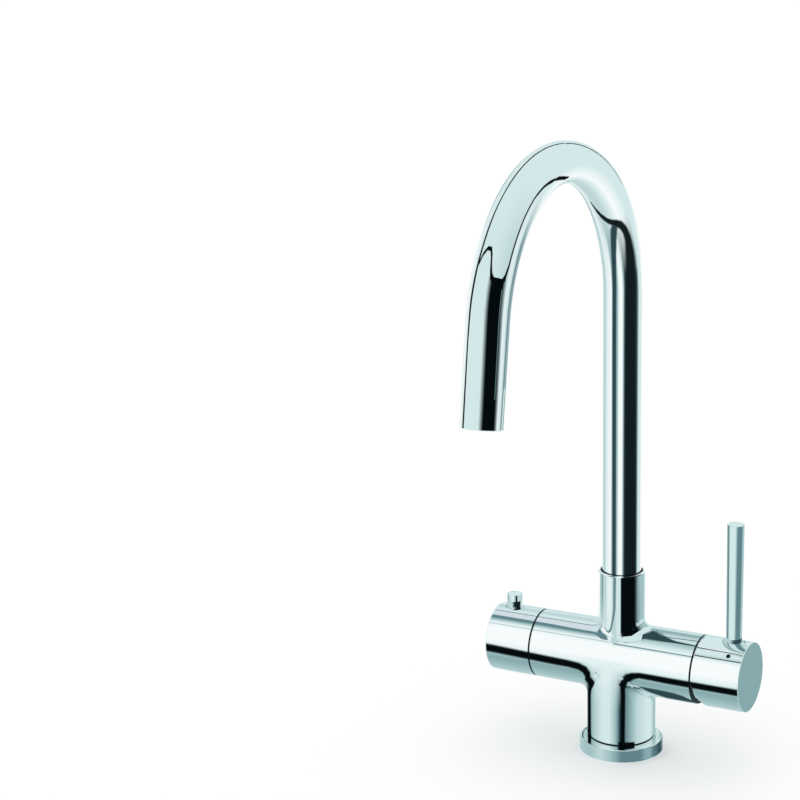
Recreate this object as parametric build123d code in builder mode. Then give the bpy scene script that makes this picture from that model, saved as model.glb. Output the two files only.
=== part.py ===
import math
import os

from build123d import *

# A deck-mounted tap for boiling, hot and cold water, in millimetres.
# It stands on the deck at z = 0, its spout points to -Y, and its crossbar lies along X
# with the boiling water knob at -X and the mixer handle at +X.

os.makedirs("parts", exist_ok=True)

# Base flange
flange_rim = 4.75
flange_height = 8.9
flange_floor = 3.9
flange_edge = 0.9
flange_seat = 3.0
gasket_width = 4.0
gasket_height = 2.0
gasket_inset = 2.2
foot_fit = 0.1
foot_ring_radius = 0.7
foot_ring_rise = 2.4

# Casting: a round column, a crossbar and a collar for the spout
cartridge_radius = 17.5
socket_fit = 0.1
casting_wall = 4.9
bar_step = 0.2
bar_height = 64.75
bar_half = 56.4
column_fillet = 6.0
collar_fillet = 4.5
collar_rise = 59.35
collar_wall = 2.52
collar_edge = 0.6
thread_fit = 0.05

# Connections underneath
inlet_thread_radius = 4.46
inlet_thread_depth = 12.0
inlet_channel_radius = 3.4
supply_inlet_x = 5.5
supply_inlet_y = 8.5
boil_inlet_x = -10.0
stud_hole_radius = 3.4
stud_hole_depth = 14.0
stud_x = -6.5
stud_y = 11.26
mixed_channel_radius = 3.2
mixed_channel_x = 9.4
boil_channel_radius = 2.5
boil_channel_rise = 10.6

# Spout
spout_radius = 12.75
tube_wall = 1.5
swivel_fit = 0.08
riser_length = 183.35
arch_back_radius = 95.3
arch_front_radius = 92.0
arch_front_angle = 81.0
outlet_run = 60.4
sleeve_length = 24.0
sleeve_spigot = 8.0
sleeve_wall = 1.8
sleeve_edge = 0.5

# Spout bearing
bearing_depth = 3.5
bush_length = 14.0
bush_spigot = 12.0
bush_hole_count = 4
bush_hole_radius = 1.7
bush_recess_depth = 1.6
spout_ring_radius = 0.65
spout_ring_rises = (6.6, 10.4)
clip_rise = 2.4
clip_thickness = 1.4
clip_width = 1.4
clip_bite = 0.75
clip_opening = 30.0
glide_ring_width = 1.1
glide_ring_height = 1.9
glide_ring_recess = 0.3
nipple_thread_radius = 5.0
nipple_thread_length = 6.0
nipple_radius = 3.0
nipple_bore = 1.8
nipple_rise = 10.0
nipple_ring_rise = 5.0
nipple_ring_width = 1.2
nipple_groove_depth = 0.7
boil_tube_radius = 4.0
boil_tube_bore = 2.6

# Outlet
insert_recess = 1.2
insert_thickness = 8.0
insert_wall = 1.85
insert_hole_count = 12
insert_hole_radius = 1.1
washer_thickness = 1.5
washer_width = 2.2
nozzle_recess = 0.6
nozzle_radius = 4.4
nozzle_shoulder = 1.35
nozzle_length = 15.5
nozzle_socket = 6.0
close_fit = 0.05

# Mixer cartridge, from its seat outwards
port_plate_thickness = 5.0
disc_thickness = 3.5
disc_gap = 0.05
moving_disc_radius = 10.4
mixing_pocket_radius = 4.2
mixing_pocket_depth = 1.8
disc_port_radius = 2.4
inlet_port_circle = 7.2
inlet_port_angle = 40.0
carrier_height = 7.4
shell_wall = 2.7
lip_thickness = 3.0
turret_flange = 3.3
turret_shoulder = 2.4
turret_end_gap = 0.5
turret_step_gap = 0.1
cartridge_nut_thread = 3.05
cartridge_nut_step = 1.7
cartridge_nut_collar = 2.6
cartridge_nut_collar_radius = 17.2
cartridge_nut_gap = 1.0
key_slot_count = 4
key_slot_width = 3.0
key_slot_depth = 1.4
port_seal_width = 1.0
port_seal_depth = 1.3

# Mixer handle
seam_gap = 1.3
seam_ring_width = 1.0
seam_ring_inset = 0.8
boil_seam_ring_lip = 2.0
handle_length = 31.95
handle_wall = 1.8
handle_face = 16.65
handle_edge = 0.4
dome_fit = 0.3
dome_gap = 0.8
dome_seat_length = 3.6
dome_lip = 0.7
pivot_setback = 1.6
pivot_pin_radius = 1.5
pivot_pin_inset = 0.4
pin_fit = 0.07
tilt_range = 18.0
tilt_gap = 0.2
stem_half = 4.0
stem_reach = 8.0
stem_back = 4.0
stem_arm_radius = 2.2
stem_ball_radius = 2.8
stem_ball_sink = 1.95
ball_fit = 0.2
ball_socket_depth = 5.2
slot_fit = 0.15
slot_half_height = 6.5
lever_setback = 11.45
lever_height = 78.2
lever_foot_radius = 5.03
lever_tip_radius = 5.48
lever_tip_edge = 0.8
lever_seat_depth = 5.7
lever_thread_radius = 2.95
lever_thread_length = 8.0
set_screw_radius = 2.5
set_screw_length = 8.0
set_screw_setback = 10.0
set_screw_key_depth = 4.0
dot_radius = 1.5
dot_depth = 2.0
dot_setback = 9.65
dot_angle = 50.4

# Boiling water valve, from its seat outwards
boil_bore_radius = 10.5
boil_bore_depth = 29.4
boil_mouth_depth = 11.4
boil_mouth_radius = 16.0
seat_seal_height = 2.4
seat_seal_width = 3.0
headwork_start = 2.0
headwork_wall = 1.8
headwork_cavity = 9.0
headwork_flange = 4.0
headwork_flange_radius = 13.0
headwork_neck_radius = 8.0
headwork_neck_reach = 5.6
window_width = 6.0
valve_disc_thickness = 3.5
valve_port_radius = 2.4
valve_port_offset = 4.2
spindle_radius = 4.0
spindle_tongue = 1.4
spindle_tongue_width = 3.4
spindle_end_gap = 0.4
spindle_spline_radius = 3.9
headwork_ring_radius = 0.6
headwork_ring_setback = 3.0
circlip_thickness = 0.8
circlip_width = 2.2
circlip_groove = 0.5
circlip_opening = 50.0

# Boiling water knob, its stop and its safety button
knob_wall = 2.5
knob_face = 19.65
knob_edge = 1.2
knob_hub_radius = 9.5
knob_hub_gap = 0.6
adapter_radius = 6.4
adapter_depth = 3.4
grub_radius = 1.5
grub_length = 10.0
grub_setback = 17.75
grub_key_depth = 2.5
stop_ring_wall = 2.5
stop_ring_gap = 0.6
stop_ring_root = 5.0
stop_slot_length = 5.4
turn_range = 90.0
stop_margin = 1.2
button_radius = 5.0
button_fit = 0.06
button_setback = 11.45
button_rise = 8.8
button_edge = 0.7
button_travel = 3.0
button_clearance = 0.2
button_tail = 0.65
stop_pin_radius = 1.5
stop_pin_reach = 4.5
stop_pin_sink = 1.8
stop_pin_fit = 0.1
spring_radius = 2.9
spring_wire = 0.4
spring_turns = 5
spring_pocket_radius = 3.4
spring_pocket_depth = 6.4
spring_end_gap = 0.05

# How far a cut runs on past the face that it opens
overcut = 1.0

# Sizes that follow
body_radius = cartridge_radius + socket_fit + casting_wall
bar_radius = body_radius + bar_step
socket_radius = cartridge_radius + socket_fit
collar_bore = spout_radius + swivel_fit
collar_radius = collar_bore + collar_wall
collar_top = bar_height + collar_rise
tube_bore = spout_radius - tube_wall
flange_radius = body_radius + foot_fit + flange_rim
flange_hole_radius = body_radius - flange_seat
handle_start = bar_half + seam_gap
handle_end = handle_start + handle_length

mixer_side = 1
boil_side = -1
bar_axis = Axis((0, 0, bar_height), (1, 0, 0))


def across(distance, side):
    """The plane square to the crossbar, this far out from its middle, with its y up."""
    return Plane(origin=(side * distance, 0, bar_height), x_dir=(0, side, 0), z_dir=(side, 0, 0))


def along(side):
    """The upright plane through the crossbar, whose x runs outwards and whose y is the radius."""
    return Plane(origin=(0, 0, bar_height), x_dir=(side, 0, 0), z_dir=(0, -side, 0))


def upright():
    """The plane through the column, whose x runs up and whose y is the radius."""
    return Plane(origin=(0, 0, 0), x_dir=(0, 0, 1), z_dir=(0, 1, 0))


def band(start, end, inner, outer, mode=Mode.ADD):
    """One step of a turned profile, from start to end along it and from inner to outer radius."""
    with Locations(((start + end) / 2, (inner + outer) / 2)):
        Rectangle(end - start, outer - inner, mode=mode)


def rod(end_a, end_b, radius, mode=Mode.ADD):
    """A round rod or channel from one point to another."""
    start, end = Vector(end_a), Vector(end_b)
    with Locations(Plane(origin=start, z_dir=end - start)):
        Cylinder(radius, (end - start).length, align=(Align.CENTER, Align.CENTER, Align.MIN), mode=mode)


# The casting's bores, from the middle outwards and upwards
socket_stack = (
    port_plate_thickness
    + 2 * disc_thickness
    + disc_gap
    + carrier_height
    + turret_end_gap
    + turret_flange
    + turret_step_gap
    + lip_thickness
)
shell_end = bar_half - cartridge_nut_thread
socket_floor = shell_end - socket_stack
nut_thread_radius = cartridge_radius + cartridge_nut_step
valve_seat = bar_half - boil_bore_depth
mouth_floor = bar_half - boil_mouth_depth
bore_floor = bar_height + bar_radius - bearing_depth
bush_start = bore_floor + close_fit
glide_floor = collar_top - glide_ring_recess - glide_ring_height
glide_radius = collar_bore + glide_ring_width
clip_start = bush_start + clip_rise
clip_outer = collar_bore + clip_bite
nipple_foot = bore_floor - nipple_thread_length
inlet_port_y = inlet_port_circle * math.sin(math.radians(inlet_port_angle))
inlet_port_rise = inlet_port_circle * math.cos(math.radians(inlet_port_angle))
supply_height = bar_height + inlet_port_rise
boil_channel_height = bar_height + boil_channel_rise

# Casting
with BuildPart() as tap_body:
    with BuildSketch(Plane.XY.offset(flange_floor)):
        Circle(body_radius)
    extrude(amount=bar_height - flange_floor)
    with BuildSketch(across(-bar_half, mixer_side)):
        Circle(bar_radius)
    extrude(amount=2 * bar_half)
    column_seam = tap_body.edges().filter_by(GeomType.BSPLINE)
    fillet(column_seam, column_fillet)
    with BuildSketch(Plane.XY.offset(bar_height)):
        Circle(collar_radius)
    extrude(amount=collar_rise)
    collar_foot = tap_body.edges(Select.LAST).filter_by(GeomType.CIRCLE, reverse=True)
    collar_seam = collar_foot.filter_by(GeomType.LINE, reverse=True)
    fillet(collar_seam, collar_fillet)
    fillet(tap_body.edges().filter_by(GeomType.CIRCLE).sort_by(Axis.Z)[-1], collar_edge)
    # Socket of the mixer cartridge, with the thread of its nut at the mouth
    with BuildSketch(along(mixer_side)):
        band(socket_floor, bar_half, 0, socket_radius)
        band(shell_end, bar_half, 0, nut_thread_radius + thread_fit)
    revolve(axis=bar_axis, mode=Mode.SUBTRACT)
    # Bore of the boiling water valve, with the seat of the stop ring at the mouth
    with BuildSketch(along(boil_side)):
        band(valve_seat, bar_half, 0, boil_bore_radius)
        band(mouth_floor, bar_half, 0, boil_mouth_radius + close_fit)
    revolve(axis=bar_axis, mode=Mode.SUBTRACT)
    # Bearing of the spout, with the grooves of the clip and of the glide ring
    with BuildSketch(upright()):
        band(bore_floor, collar_top, 0, collar_bore)
        band(clip_start, clip_start + clip_thickness, 0, clip_outer + close_fit)
        band(glide_floor, collar_top, 0, glide_radius + close_fit)
        band(nipple_foot, bore_floor, 0, nipple_thread_radius + thread_fit)
        band(boil_channel_height, nipple_foot, 0, boil_channel_radius)
    revolve(axis=Axis.Z, mode=Mode.SUBTRACT)
    # Groove of the foot's sealing ring
    with BuildSketch(upright()):
        foot_ring_height = flange_floor + foot_ring_rise
        band(
            foot_ring_height - foot_ring_radius - close_fit,
            foot_ring_height + foot_ring_radius + close_fit,
            body_radius - 2 * foot_ring_radius,
            body_radius + overcut,
        )
    revolve(axis=Axis.Z, mode=Mode.SUBTRACT)
    # Threaded inlets and stud holes in the underside
    with BuildSketch(Plane.XY.offset(flange_floor)):
        supply_inlets = ((supply_inlet_x, -supply_inlet_y), (supply_inlet_x, supply_inlet_y))
        with Locations(*supply_inlets, (boil_inlet_x, 0)):
            Circle(inlet_thread_radius)
    extrude(amount=inlet_thread_depth, mode=Mode.SUBTRACT)
    with BuildSketch(Plane.XY.offset(flange_floor)):
        with Locations((stud_x, -stud_y), (stud_x, stud_y)):
            Circle(stud_hole_radius)
    extrude(amount=stud_hole_depth, mode=Mode.SUBTRACT)
    # Channels: cold and hot water to the cartridge and, mixed, from its middle up to the spout
    for side in (-1, 1):
        rise = (supply_inlet_x, side * supply_inlet_y)
        rise_top = supply_height + disc_port_radius
        rod((*rise, flange_floor), (*rise, rise_top), inlet_channel_radius, Mode.SUBTRACT)
        port = (socket_floor + overcut, side * inlet_port_y, supply_height)
        rod((*rise, supply_height), port, disc_port_radius, Mode.SUBTRACT)
    mixed_turn = (mixed_channel_x, 0, bar_height)
    rod(mixed_turn, (socket_floor + overcut, 0, bar_height), disc_port_radius, Mode.SUBTRACT)
    mixed_foot = (mixed_channel_x, 0, bar_height - disc_port_radius)
    rod(mixed_foot, (mixed_channel_x, 0, bore_floor + overcut), mixed_channel_radius, Mode.SUBTRACT)
    # Channels: boiling water to the middle of its valve's seat and from the seat's edge up to the nipple
    boil_rise_top = bar_height + inlet_channel_radius
    boil_foot = (boil_inlet_x, 0, flange_floor)
    rod(boil_foot, (boil_inlet_x, 0, boil_rise_top), inlet_channel_radius, Mode.SUBTRACT)
    seat_middle = (-valve_seat - overcut, 0, bar_height)
    rod((boil_inlet_x, 0, bar_height), seat_middle, inlet_channel_radius, Mode.SUBTRACT)
    seat_edge = (-valve_seat - headwork_start, 0, boil_channel_height)
    rod((0, 0, boil_channel_height), seat_edge, boil_channel_radius, Mode.SUBTRACT)
tap_body.part.label = "tap_body"
export_step(tap_body.part, "parts/tap_body.step")

# Flange: the foot of the column stands in its socket, and its hole passes the hoses and studs
with BuildPart() as base_flange:
    with BuildSketch(upright()):
        band(0, flange_height, flange_hole_radius, flange_radius)
        band(flange_floor, flange_height, flange_hole_radius, body_radius + foot_fit, Mode.SUBTRACT)
        gasket_outer = flange_radius - gasket_inset
        gasket_inner = gasket_outer - gasket_width
        band(0, gasket_height, gasket_inner - close_fit, gasket_outer + close_fit, Mode.SUBTRACT)
    revolve(axis=Axis.Z)
    top_rims = base_flange.edges().filter_by(GeomType.CIRCLE).group_by(Axis.Z)[-1]
    fillet(top_rims.sort_by(SortBy.LENGTH)[-1], flange_edge)
base_flange.part.label = "base_flange"
export_step(base_flange.part, "parts/base_flange.step")

# Rubber gasket in the flange's underside, flush with the deck
with BuildPart() as base_gasket:
    with BuildSketch(upright()):
        band(0, gasket_height, gasket_inner, gasket_outer)
    revolve(axis=Axis.Z)
base_gasket.part.label = "base_gasket"
export_step(base_gasket.part, "parts/base_gasket.step")

# Sealing ring round the foot of the column
with BuildPart() as foot_seal:
    with BuildSketch(upright()):
        with Locations((foot_ring_height, body_radius - foot_ring_radius)):
            Circle(foot_ring_radius)
    revolve(axis=Axis.Z)
foot_seal.part.label = "foot_seal"
export_step(foot_seal.part, "parts/foot_seal.step")

# Spout: riser, arch and outlet follow one centreline
tube_start = bush_start + bush_length
riser_top = collar_top + riser_length
turn_down = math.radians(arch_front_angle)
front_arc_y = -arch_back_radius - arch_front_radius * math.sin(turn_down)
front_arc_z = riser_top + arch_back_radius - arch_front_radius * (1 - math.cos(turn_down))
outlet_axis = Vector(0, -math.cos(turn_down), -math.sin(turn_down))
front_arc_end = Vector(0, front_arc_y, front_arc_z)
outlet_tip = front_arc_end + outlet_axis * outlet_run


def centreline(start_height, run):
    """The spout's centreline, square to the crossbar, from a height to a run past the arch."""
    Line((0, start_height), (0, riser_top))
    JernArc((0, riser_top), (0, 1), arch_back_radius, 90)
    JernArc((-arch_back_radius, riser_top + arch_back_radius), (-1, 0), arch_front_radius, arch_front_angle)
    end = front_arc_end + outlet_axis * run
    Line((front_arc_end.Y, front_arc_end.Z), (end.Y, end.Z))


def outlet_profile():
    """The plane through the outlet, whose x runs back from the tip and whose y is the radius."""
    return Plane(origin=outlet_tip, x_dir=-outlet_axis, z_dir=outlet_axis.cross(Vector(1, 0, 0)))


outlet_line = Axis(outlet_tip, outlet_axis)

with BuildPart() as spout_tube:
    with BuildLine(Plane.YZ) as tube_path:
        centreline(tube_start, outlet_run - sleeve_length)
    with BuildSketch(Plane.XY.offset(tube_start)):
        Circle(spout_radius)
        Circle(tube_bore, mode=Mode.SUBTRACT)
    sweep(path=tube_path.line)
spout_tube.part.label = "spout_tube"
export_step(spout_tube.part, "parts/spout_tube.step")

# Brass bush on which the spout turns: it carries the spout's rings and holds both waterways apart
bush_end = bush_start + bush_length
bush_step = bore_floor + nipple_rise + close_fit
clip_inner = clip_outer - clip_width
bush_hole_circle = (boil_tube_radius + tube_bore) / 2
with BuildPart() as spout_bush:
    with BuildSketch(upright()):
        band(bush_start, bush_end, nipple_radius + swivel_fit, spout_radius)
        band(bush_end, bush_end + bush_spigot, nipple_radius, tube_bore - close_fit)
        band(bush_step, bush_end + bush_spigot, 0, boil_tube_radius + close_fit, Mode.SUBTRACT)
        band(
            bush_start,
            bush_start + bush_recess_depth,
            bush_hole_circle - bush_hole_radius,
            bush_hole_circle + bush_hole_radius,
            Mode.SUBTRACT,
        )
        band(
            clip_start - close_fit,
            clip_start + clip_thickness + close_fit,
            clip_inner - swivel_fit,
            spout_radius,
            Mode.SUBTRACT,
        )
        for ring_rise in spout_ring_rises:
            band(
                bush_start + ring_rise - spout_ring_radius - close_fit,
                bush_start + ring_rise + spout_ring_radius + close_fit,
                spout_radius - 2 * spout_ring_radius,
                spout_radius,
                Mode.SUBTRACT,
            )
    revolve(axis=Axis.Z)
    with BuildSketch(Plane.XY.offset(bush_start)):
        with PolarLocations(bush_hole_circle, bush_hole_count):
            Circle(bush_hole_radius)
    extrude(amount=bush_length + bush_spigot, mode=Mode.SUBTRACT)
spout_bush.part.label = "spout_bush"
export_step(spout_bush.part, "parts/spout_bush.step")

# Two sealing rings on the bush
with BuildPart() as spout_seals:
    with BuildSketch(upright()):
        for ring_rise in spout_ring_rises:
            with Locations((bush_start + ring_rise, spout_radius - spout_ring_radius)):
                Circle(spout_ring_radius)
    revolve(axis=Axis.Z)
spout_seals.part.label = "spout_seals"
export_step(spout_seals.part, "parts/spout_seals.step")

# Open spring clip in the collar's groove: it keeps the bush from lifting out
with BuildPart() as spout_clip:
    with BuildSketch(upright()):
        band(clip_start + close_fit, clip_start + clip_thickness - close_fit, clip_inner, clip_outer)
    revolve(axis=Axis.Z, revolution_arc=360 - clip_opening)
spout_clip.part.label = "spout_clip"
export_step(spout_clip.part, "parts/spout_clip.step")

# Black glide ring in the collar's mouth, round the tube
with BuildPart() as glide_ring:
    with BuildSketch(upright()):
        band(glide_floor, glide_floor + glide_ring_height, collar_bore, glide_radius)
    revolve(axis=Axis.Z)
glide_ring.part.label = "glide_ring"
export_step(glide_ring.part, "parts/glide_ring.step")

# Nipple on the spout's axis: boiling water crosses the swivel through it
with BuildPart() as boil_nipple:
    with BuildSketch(upright()):
        band(nipple_foot, bore_floor, nipple_bore, nipple_thread_radius)
        band(bore_floor, bore_floor + nipple_rise, nipple_bore, nipple_radius)
        band(
            bore_floor + nipple_ring_rise,
            bore_floor + nipple_ring_rise + nipple_ring_width,
            nipple_radius - nipple_groove_depth,
            nipple_radius,
            Mode.SUBTRACT,
        )
    revolve(axis=Axis.Z)
boil_nipple.part.label = "boil_nipple"
export_step(boil_nipple.part, "parts/boil_nipple.step")

with BuildPart() as nipple_seal:
    with BuildSketch(upright()):
        band(
            bore_floor + nipple_ring_rise + close_fit,
            bore_floor + nipple_ring_rise + nipple_ring_width - close_fit,
            nipple_radius - nipple_groove_depth,
            nipple_radius,
        )
    revolve(axis=Axis.Z)
nipple_seal.part.label = "nipple_seal"
export_step(nipple_seal.part, "parts/nipple_seal.step")

# Inner tube that keeps the boiling water apart up to the tip
nozzle_end = nozzle_recess + nozzle_length
with BuildPart() as boiling_tube:
    with BuildLine(Plane.YZ) as boiling_path:
        centreline(bush_step + close_fit, outlet_run - nozzle_end + nozzle_socket - close_fit)
    with BuildSketch(Plane.XY.offset(bush_step + close_fit)):
        Circle(boil_tube_radius)
        Circle(boil_tube_bore, mode=Mode.SUBTRACT)
    sweep(path=boiling_path.line)
boiling_tube.part.label = "boiling_tube"
export_step(boiling_tube.part, "parts/boiling_tube.step")

# Outlet sleeve: flush with the tube, it plugs into the tube's end and holds the insert
insert_end = insert_recess + insert_thickness
washer_end = insert_end + washer_thickness
insert_radius = spout_radius - insert_wall
with BuildPart() as outlet_sleeve:
    with BuildSketch(outlet_profile()):
        sleeve_passage_radius = tube_bore - close_fit - sleeve_wall
        band(0, sleeve_length, sleeve_passage_radius, spout_radius)
        band(sleeve_length, sleeve_length + sleeve_spigot, sleeve_passage_radius, tube_bore - close_fit)
        band(0, washer_end, sleeve_passage_radius, insert_radius + close_fit, Mode.SUBTRACT)
    revolve(axis=outlet_line)
    tip_rims = outlet_sleeve.edges().filter_by(GeomType.CIRCLE).sort_by(outlet_line)[-2:]
    fillet(tip_rims.sort_by(SortBy.LENGTH)[-1], sleeve_edge)
outlet_sleeve.part.label = "outlet_sleeve"
export_step(outlet_sleeve.part, "parts/outlet_sleeve.step")

# Flow straightener for the mixed water, round the nozzle
with BuildPart() as flow_insert:
    with BuildSketch(outlet_profile()):
        band(insert_recess, insert_end, nozzle_radius + close_fit, insert_radius)
    revolve(axis=outlet_line)
    with BuildSketch(Plane(origin=outlet_tip, x_dir=(1, 0, 0), z_dir=-outlet_axis)):
        with PolarLocations((nozzle_radius + insert_radius) / 2, insert_hole_count):
            Circle(insert_hole_radius)
    extrude(amount=insert_end + overcut, mode=Mode.SUBTRACT)
flow_insert.part.label = "flow_insert"
export_step(flow_insert.part, "parts/flow_insert.step")

with BuildPart() as outlet_washer:
    with BuildSketch(outlet_profile()):
        band(insert_end, washer_end, insert_radius - washer_width, insert_radius)
    revolve(axis=outlet_line)
outlet_washer.part.label = "outlet_washer"
export_step(outlet_washer.part, "parts/outlet_washer.step")

# Nozzle for the boiling water in the middle of the outlet, plugged on the inner tube
with BuildPart() as boiling_nozzle:
    with BuildSketch(outlet_profile()):
        band(nozzle_recess, insert_end, boil_tube_bore, nozzle_radius)
        band(insert_end, nozzle_end, boil_tube_bore, nozzle_radius + nozzle_shoulder)
        band(nozzle_end - nozzle_socket, nozzle_end, 0, boil_tube_radius + close_fit, Mode.SUBTRACT)
    revolve(axis=outlet_line)
boiling_nozzle.part.label = "boiling_nozzle"
export_step(boiling_nozzle.part, "parts/boiling_nozzle.step")

# Mixer cartridge
plate_end = socket_floor + port_plate_thickness
fixed_disc_end = plate_end + disc_thickness
moving_disc_start = fixed_disc_end + disc_gap
carrier_start = moving_disc_start + disc_thickness
carrier_end = carrier_start + carrier_height
turret_start = carrier_end + turret_end_gap
turret_step = turret_start + turret_flange
lip_start = turret_step + turret_step_gap
shell_bore = cartridge_radius - shell_wall
turret_radius = shell_bore - turret_shoulder
pivot_distance = bar_half + pivot_setback
turret_end = pivot_distance + stem_back
cartridge_ports = ((-inlet_port_y, inlet_port_rise), (inlet_port_y, inlet_port_rise), (0, 0))

with BuildPart() as mixer_port_plate:
    with BuildSketch(across(socket_floor, mixer_side)):
        Circle(cartridge_radius)
        with Locations(*cartridge_ports):
            Circle(disc_port_radius, mode=Mode.SUBTRACT)
    extrude(amount=port_plate_thickness)
    with BuildSketch(across(socket_floor, mixer_side)):
        with Locations(*cartridge_ports):
            Circle(disc_port_radius + port_seal_width)
    extrude(amount=port_seal_depth, mode=Mode.SUBTRACT)
mixer_port_plate.part.label = "mixer_port_plate"
export_step(mixer_port_plate.part, "parts/mixer_port_plate.step")

# Three rubber rings under the plate, one at each port
with BuildPart() as mixer_port_seals:
    with BuildSketch(across(socket_floor, mixer_side)):
        with Locations(*cartridge_ports):
            Circle(disc_port_radius + port_seal_width - close_fit)
            Circle(disc_port_radius, mode=Mode.SUBTRACT)
    extrude(amount=port_seal_depth)
mixer_port_seals.part.label = "mixer_port_seals"
export_step(mixer_port_seals.part, "parts/mixer_port_seals.step")

with BuildPart() as mixer_cartridge_shell:
    with BuildSketch(along(mixer_side)):
        band(plate_end, shell_end, shell_bore, cartridge_radius)
        band(lip_start, shell_end, turret_radius + swivel_fit, cartridge_radius)
    revolve(axis=bar_axis)
mixer_cartridge_shell.part.label = "mixer_cartridge_shell"
export_step(mixer_cartridge_shell.part, "parts/mixer_cartridge_shell.step")

with BuildPart() as mixer_fixed_disc:
    with BuildSketch(across(plate_end, mixer_side)):
        Circle(shell_bore - close_fit)
        with Locations(*cartridge_ports):
            Circle(disc_port_radius, mode=Mode.SUBTRACT)
    extrude(amount=disc_thickness)
mixer_fixed_disc.part.label = "mixer_fixed_disc"
export_step(mixer_fixed_disc.part, "parts/mixer_fixed_disc.step")

# The moving disc's pocket joins the two inlet ports to the middle one as the carrier slides it upwards
with BuildPart() as mixer_moving_disc:
    with BuildSketch(along(mixer_side)):
        band(moving_disc_start, carrier_start, 0, moving_disc_radius)
        pocket_end = moving_disc_start + mixing_pocket_depth
        band(moving_disc_start, pocket_end, 0, mixing_pocket_radius, Mode.SUBTRACT)
    revolve(axis=bar_axis)
mixer_moving_disc.part.label = "mixer_moving_disc"
export_step(mixer_moving_disc.part, "parts/mixer_moving_disc.step")

with BuildPart() as mixer_disc_carrier:
    with BuildSketch(along(mixer_side)):
        band(carrier_start, carrier_end, 0, moving_disc_radius)
        ball_socket = stem_ball_radius + ball_fit
        band(carrier_end - ball_socket_depth, carrier_end, 0, ball_socket, Mode.SUBTRACT)
    revolve(axis=bar_axis)
mixer_disc_carrier.part.label = "mixer_disc_carrier"
export_step(mixer_disc_carrier.part, "parts/mixer_disc_carrier.step")

# The turret turns in the shell with the handle, and the stem tilts in its slot
with BuildPart() as mixer_turret:
    with BuildSketch(along(mixer_side)):
        band(turret_start, turret_step, 0, shell_bore - swivel_fit)
        band(turret_step, turret_end, 0, turret_radius)
    revolve(axis=bar_axis)
    with BuildSketch(across(turret_start, mixer_side)):
        Rectangle(2 * (stem_half + slot_fit), 2 * slot_half_height)
    extrude(amount=turret_end - turret_start, mode=Mode.SUBTRACT)
    pivot_half = turret_radius + overcut
    pivot_x = mixer_side * pivot_distance
    rod(
        (pivot_x, -pivot_half, bar_height),
        (pivot_x, pivot_half, bar_height),
        pivot_pin_radius + close_fit,
        Mode.SUBTRACT,
    )
mixer_turret.part.label = "mixer_turret"
export_step(mixer_turret.part, "parts/mixer_turret.step")

with BuildPart() as mixer_pivot_pin:
    pin_half = turret_radius - pivot_pin_inset
    rod((pivot_x, -pin_half, bar_height), (pivot_x, pin_half, bar_height), pivot_pin_radius)
mixer_pivot_pin.part.label = "mixer_pivot_pin"
export_step(mixer_pivot_pin.part, "parts/mixer_pivot_pin.step")

# Ring nut that clamps the cartridge, with four slots for its spanner
nut_end = bar_half + cartridge_nut_collar
cartridge_nut_bore = turret_radius + cartridge_nut_gap
with BuildPart() as mixer_cartridge_nut:
    with BuildSketch(along(mixer_side)):
        band(shell_end, bar_half, cartridge_nut_bore, nut_thread_radius)
        band(bar_half, nut_end, cartridge_nut_bore, cartridge_nut_collar_radius)
    revolve(axis=bar_axis)
    with BuildSketch(across(nut_end - key_slot_depth, mixer_side)):
        with PolarLocations(cartridge_nut_bore, key_slot_count):
            Rectangle(cartridge_nut_collar_radius, key_slot_width)
    extrude(amount=key_slot_depth, mode=Mode.SUBTRACT)
mixer_cartridge_nut.part.label = "mixer_cartridge_nut"
export_step(mixer_cartridge_nut.part, "parts/mixer_cartridge_nut.step")

# Chrome dome over the nut: a slice of a sphere about the pivot, so the tilting cap clears it
tilt = math.radians(tilt_range)
handle_bore = bar_radius - handle_wall
handle_floor = handle_end - handle_face
dome_radius = handle_bore - dome_fit
tilted_floor = (handle_floor - pivot_distance) * math.cos(tilt) - handle_bore * math.sin(tilt)
dome_end = pivot_distance + tilted_floor - dome_gap
dome_passage_radius = cartridge_nut_collar_radius - dome_lip
with BuildPart() as mixer_dome:
    with BuildSketch(along(mixer_side)):
        with Locations((pivot_distance, 0)):
            Circle(dome_radius)
        band(bar_half, dome_end, dome_passage_radius, dome_radius, Mode.INTERSECT)
        dome_seat = cartridge_nut_collar_radius + close_fit
        band(bar_half, bar_half + dome_seat_length, 0, dome_seat, Mode.SUBTRACT)
    revolve(axis=bar_axis)
mixer_dome.part.label = "mixer_dome"
export_step(mixer_dome.part, "parts/mixer_dome.step")

# Black ring in the seam, set back from the surface
seam_ring_outer = bar_radius - seam_ring_inset
with BuildPart() as mixer_seam_ring:
    with BuildSketch(along(mixer_side)):
        band(bar_half, bar_half + seam_ring_width, dome_radius + close_fit, seam_ring_outer)
    revolve(axis=bar_axis)
mixer_seam_ring.part.label = "mixer_seam_ring"
export_step(mixer_seam_ring.part, "parts/mixer_seam_ring.step")

# Stem: its ball drives the disc, and the handle sits on its square end
ball_distance = carrier_end - stem_ball_sink
stem_end = handle_floor + stem_reach
with BuildPart() as mixer_stem:
    with BuildSketch(across(pivot_distance - stem_back, mixer_side)):
        Rectangle(2 * stem_half, 2 * stem_half)
    extrude(amount=stem_end - pivot_distance + stem_back)
    rod((mixer_side * ball_distance, 0, bar_height), (pivot_x, 0, bar_height), stem_arm_radius)
    with Locations((mixer_side * ball_distance, 0, bar_height)):
        Sphere(stem_ball_radius)
    rod(
        (pivot_x, -2 * stem_half, bar_height),
        (pivot_x, 2 * stem_half, bar_height),
        pivot_pin_radius + pin_fit,
        Mode.SUBTRACT,
    )
mixer_stem.part.label = "mixer_stem"
export_step(mixer_stem.part, "parts/mixer_stem.step")

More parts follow.
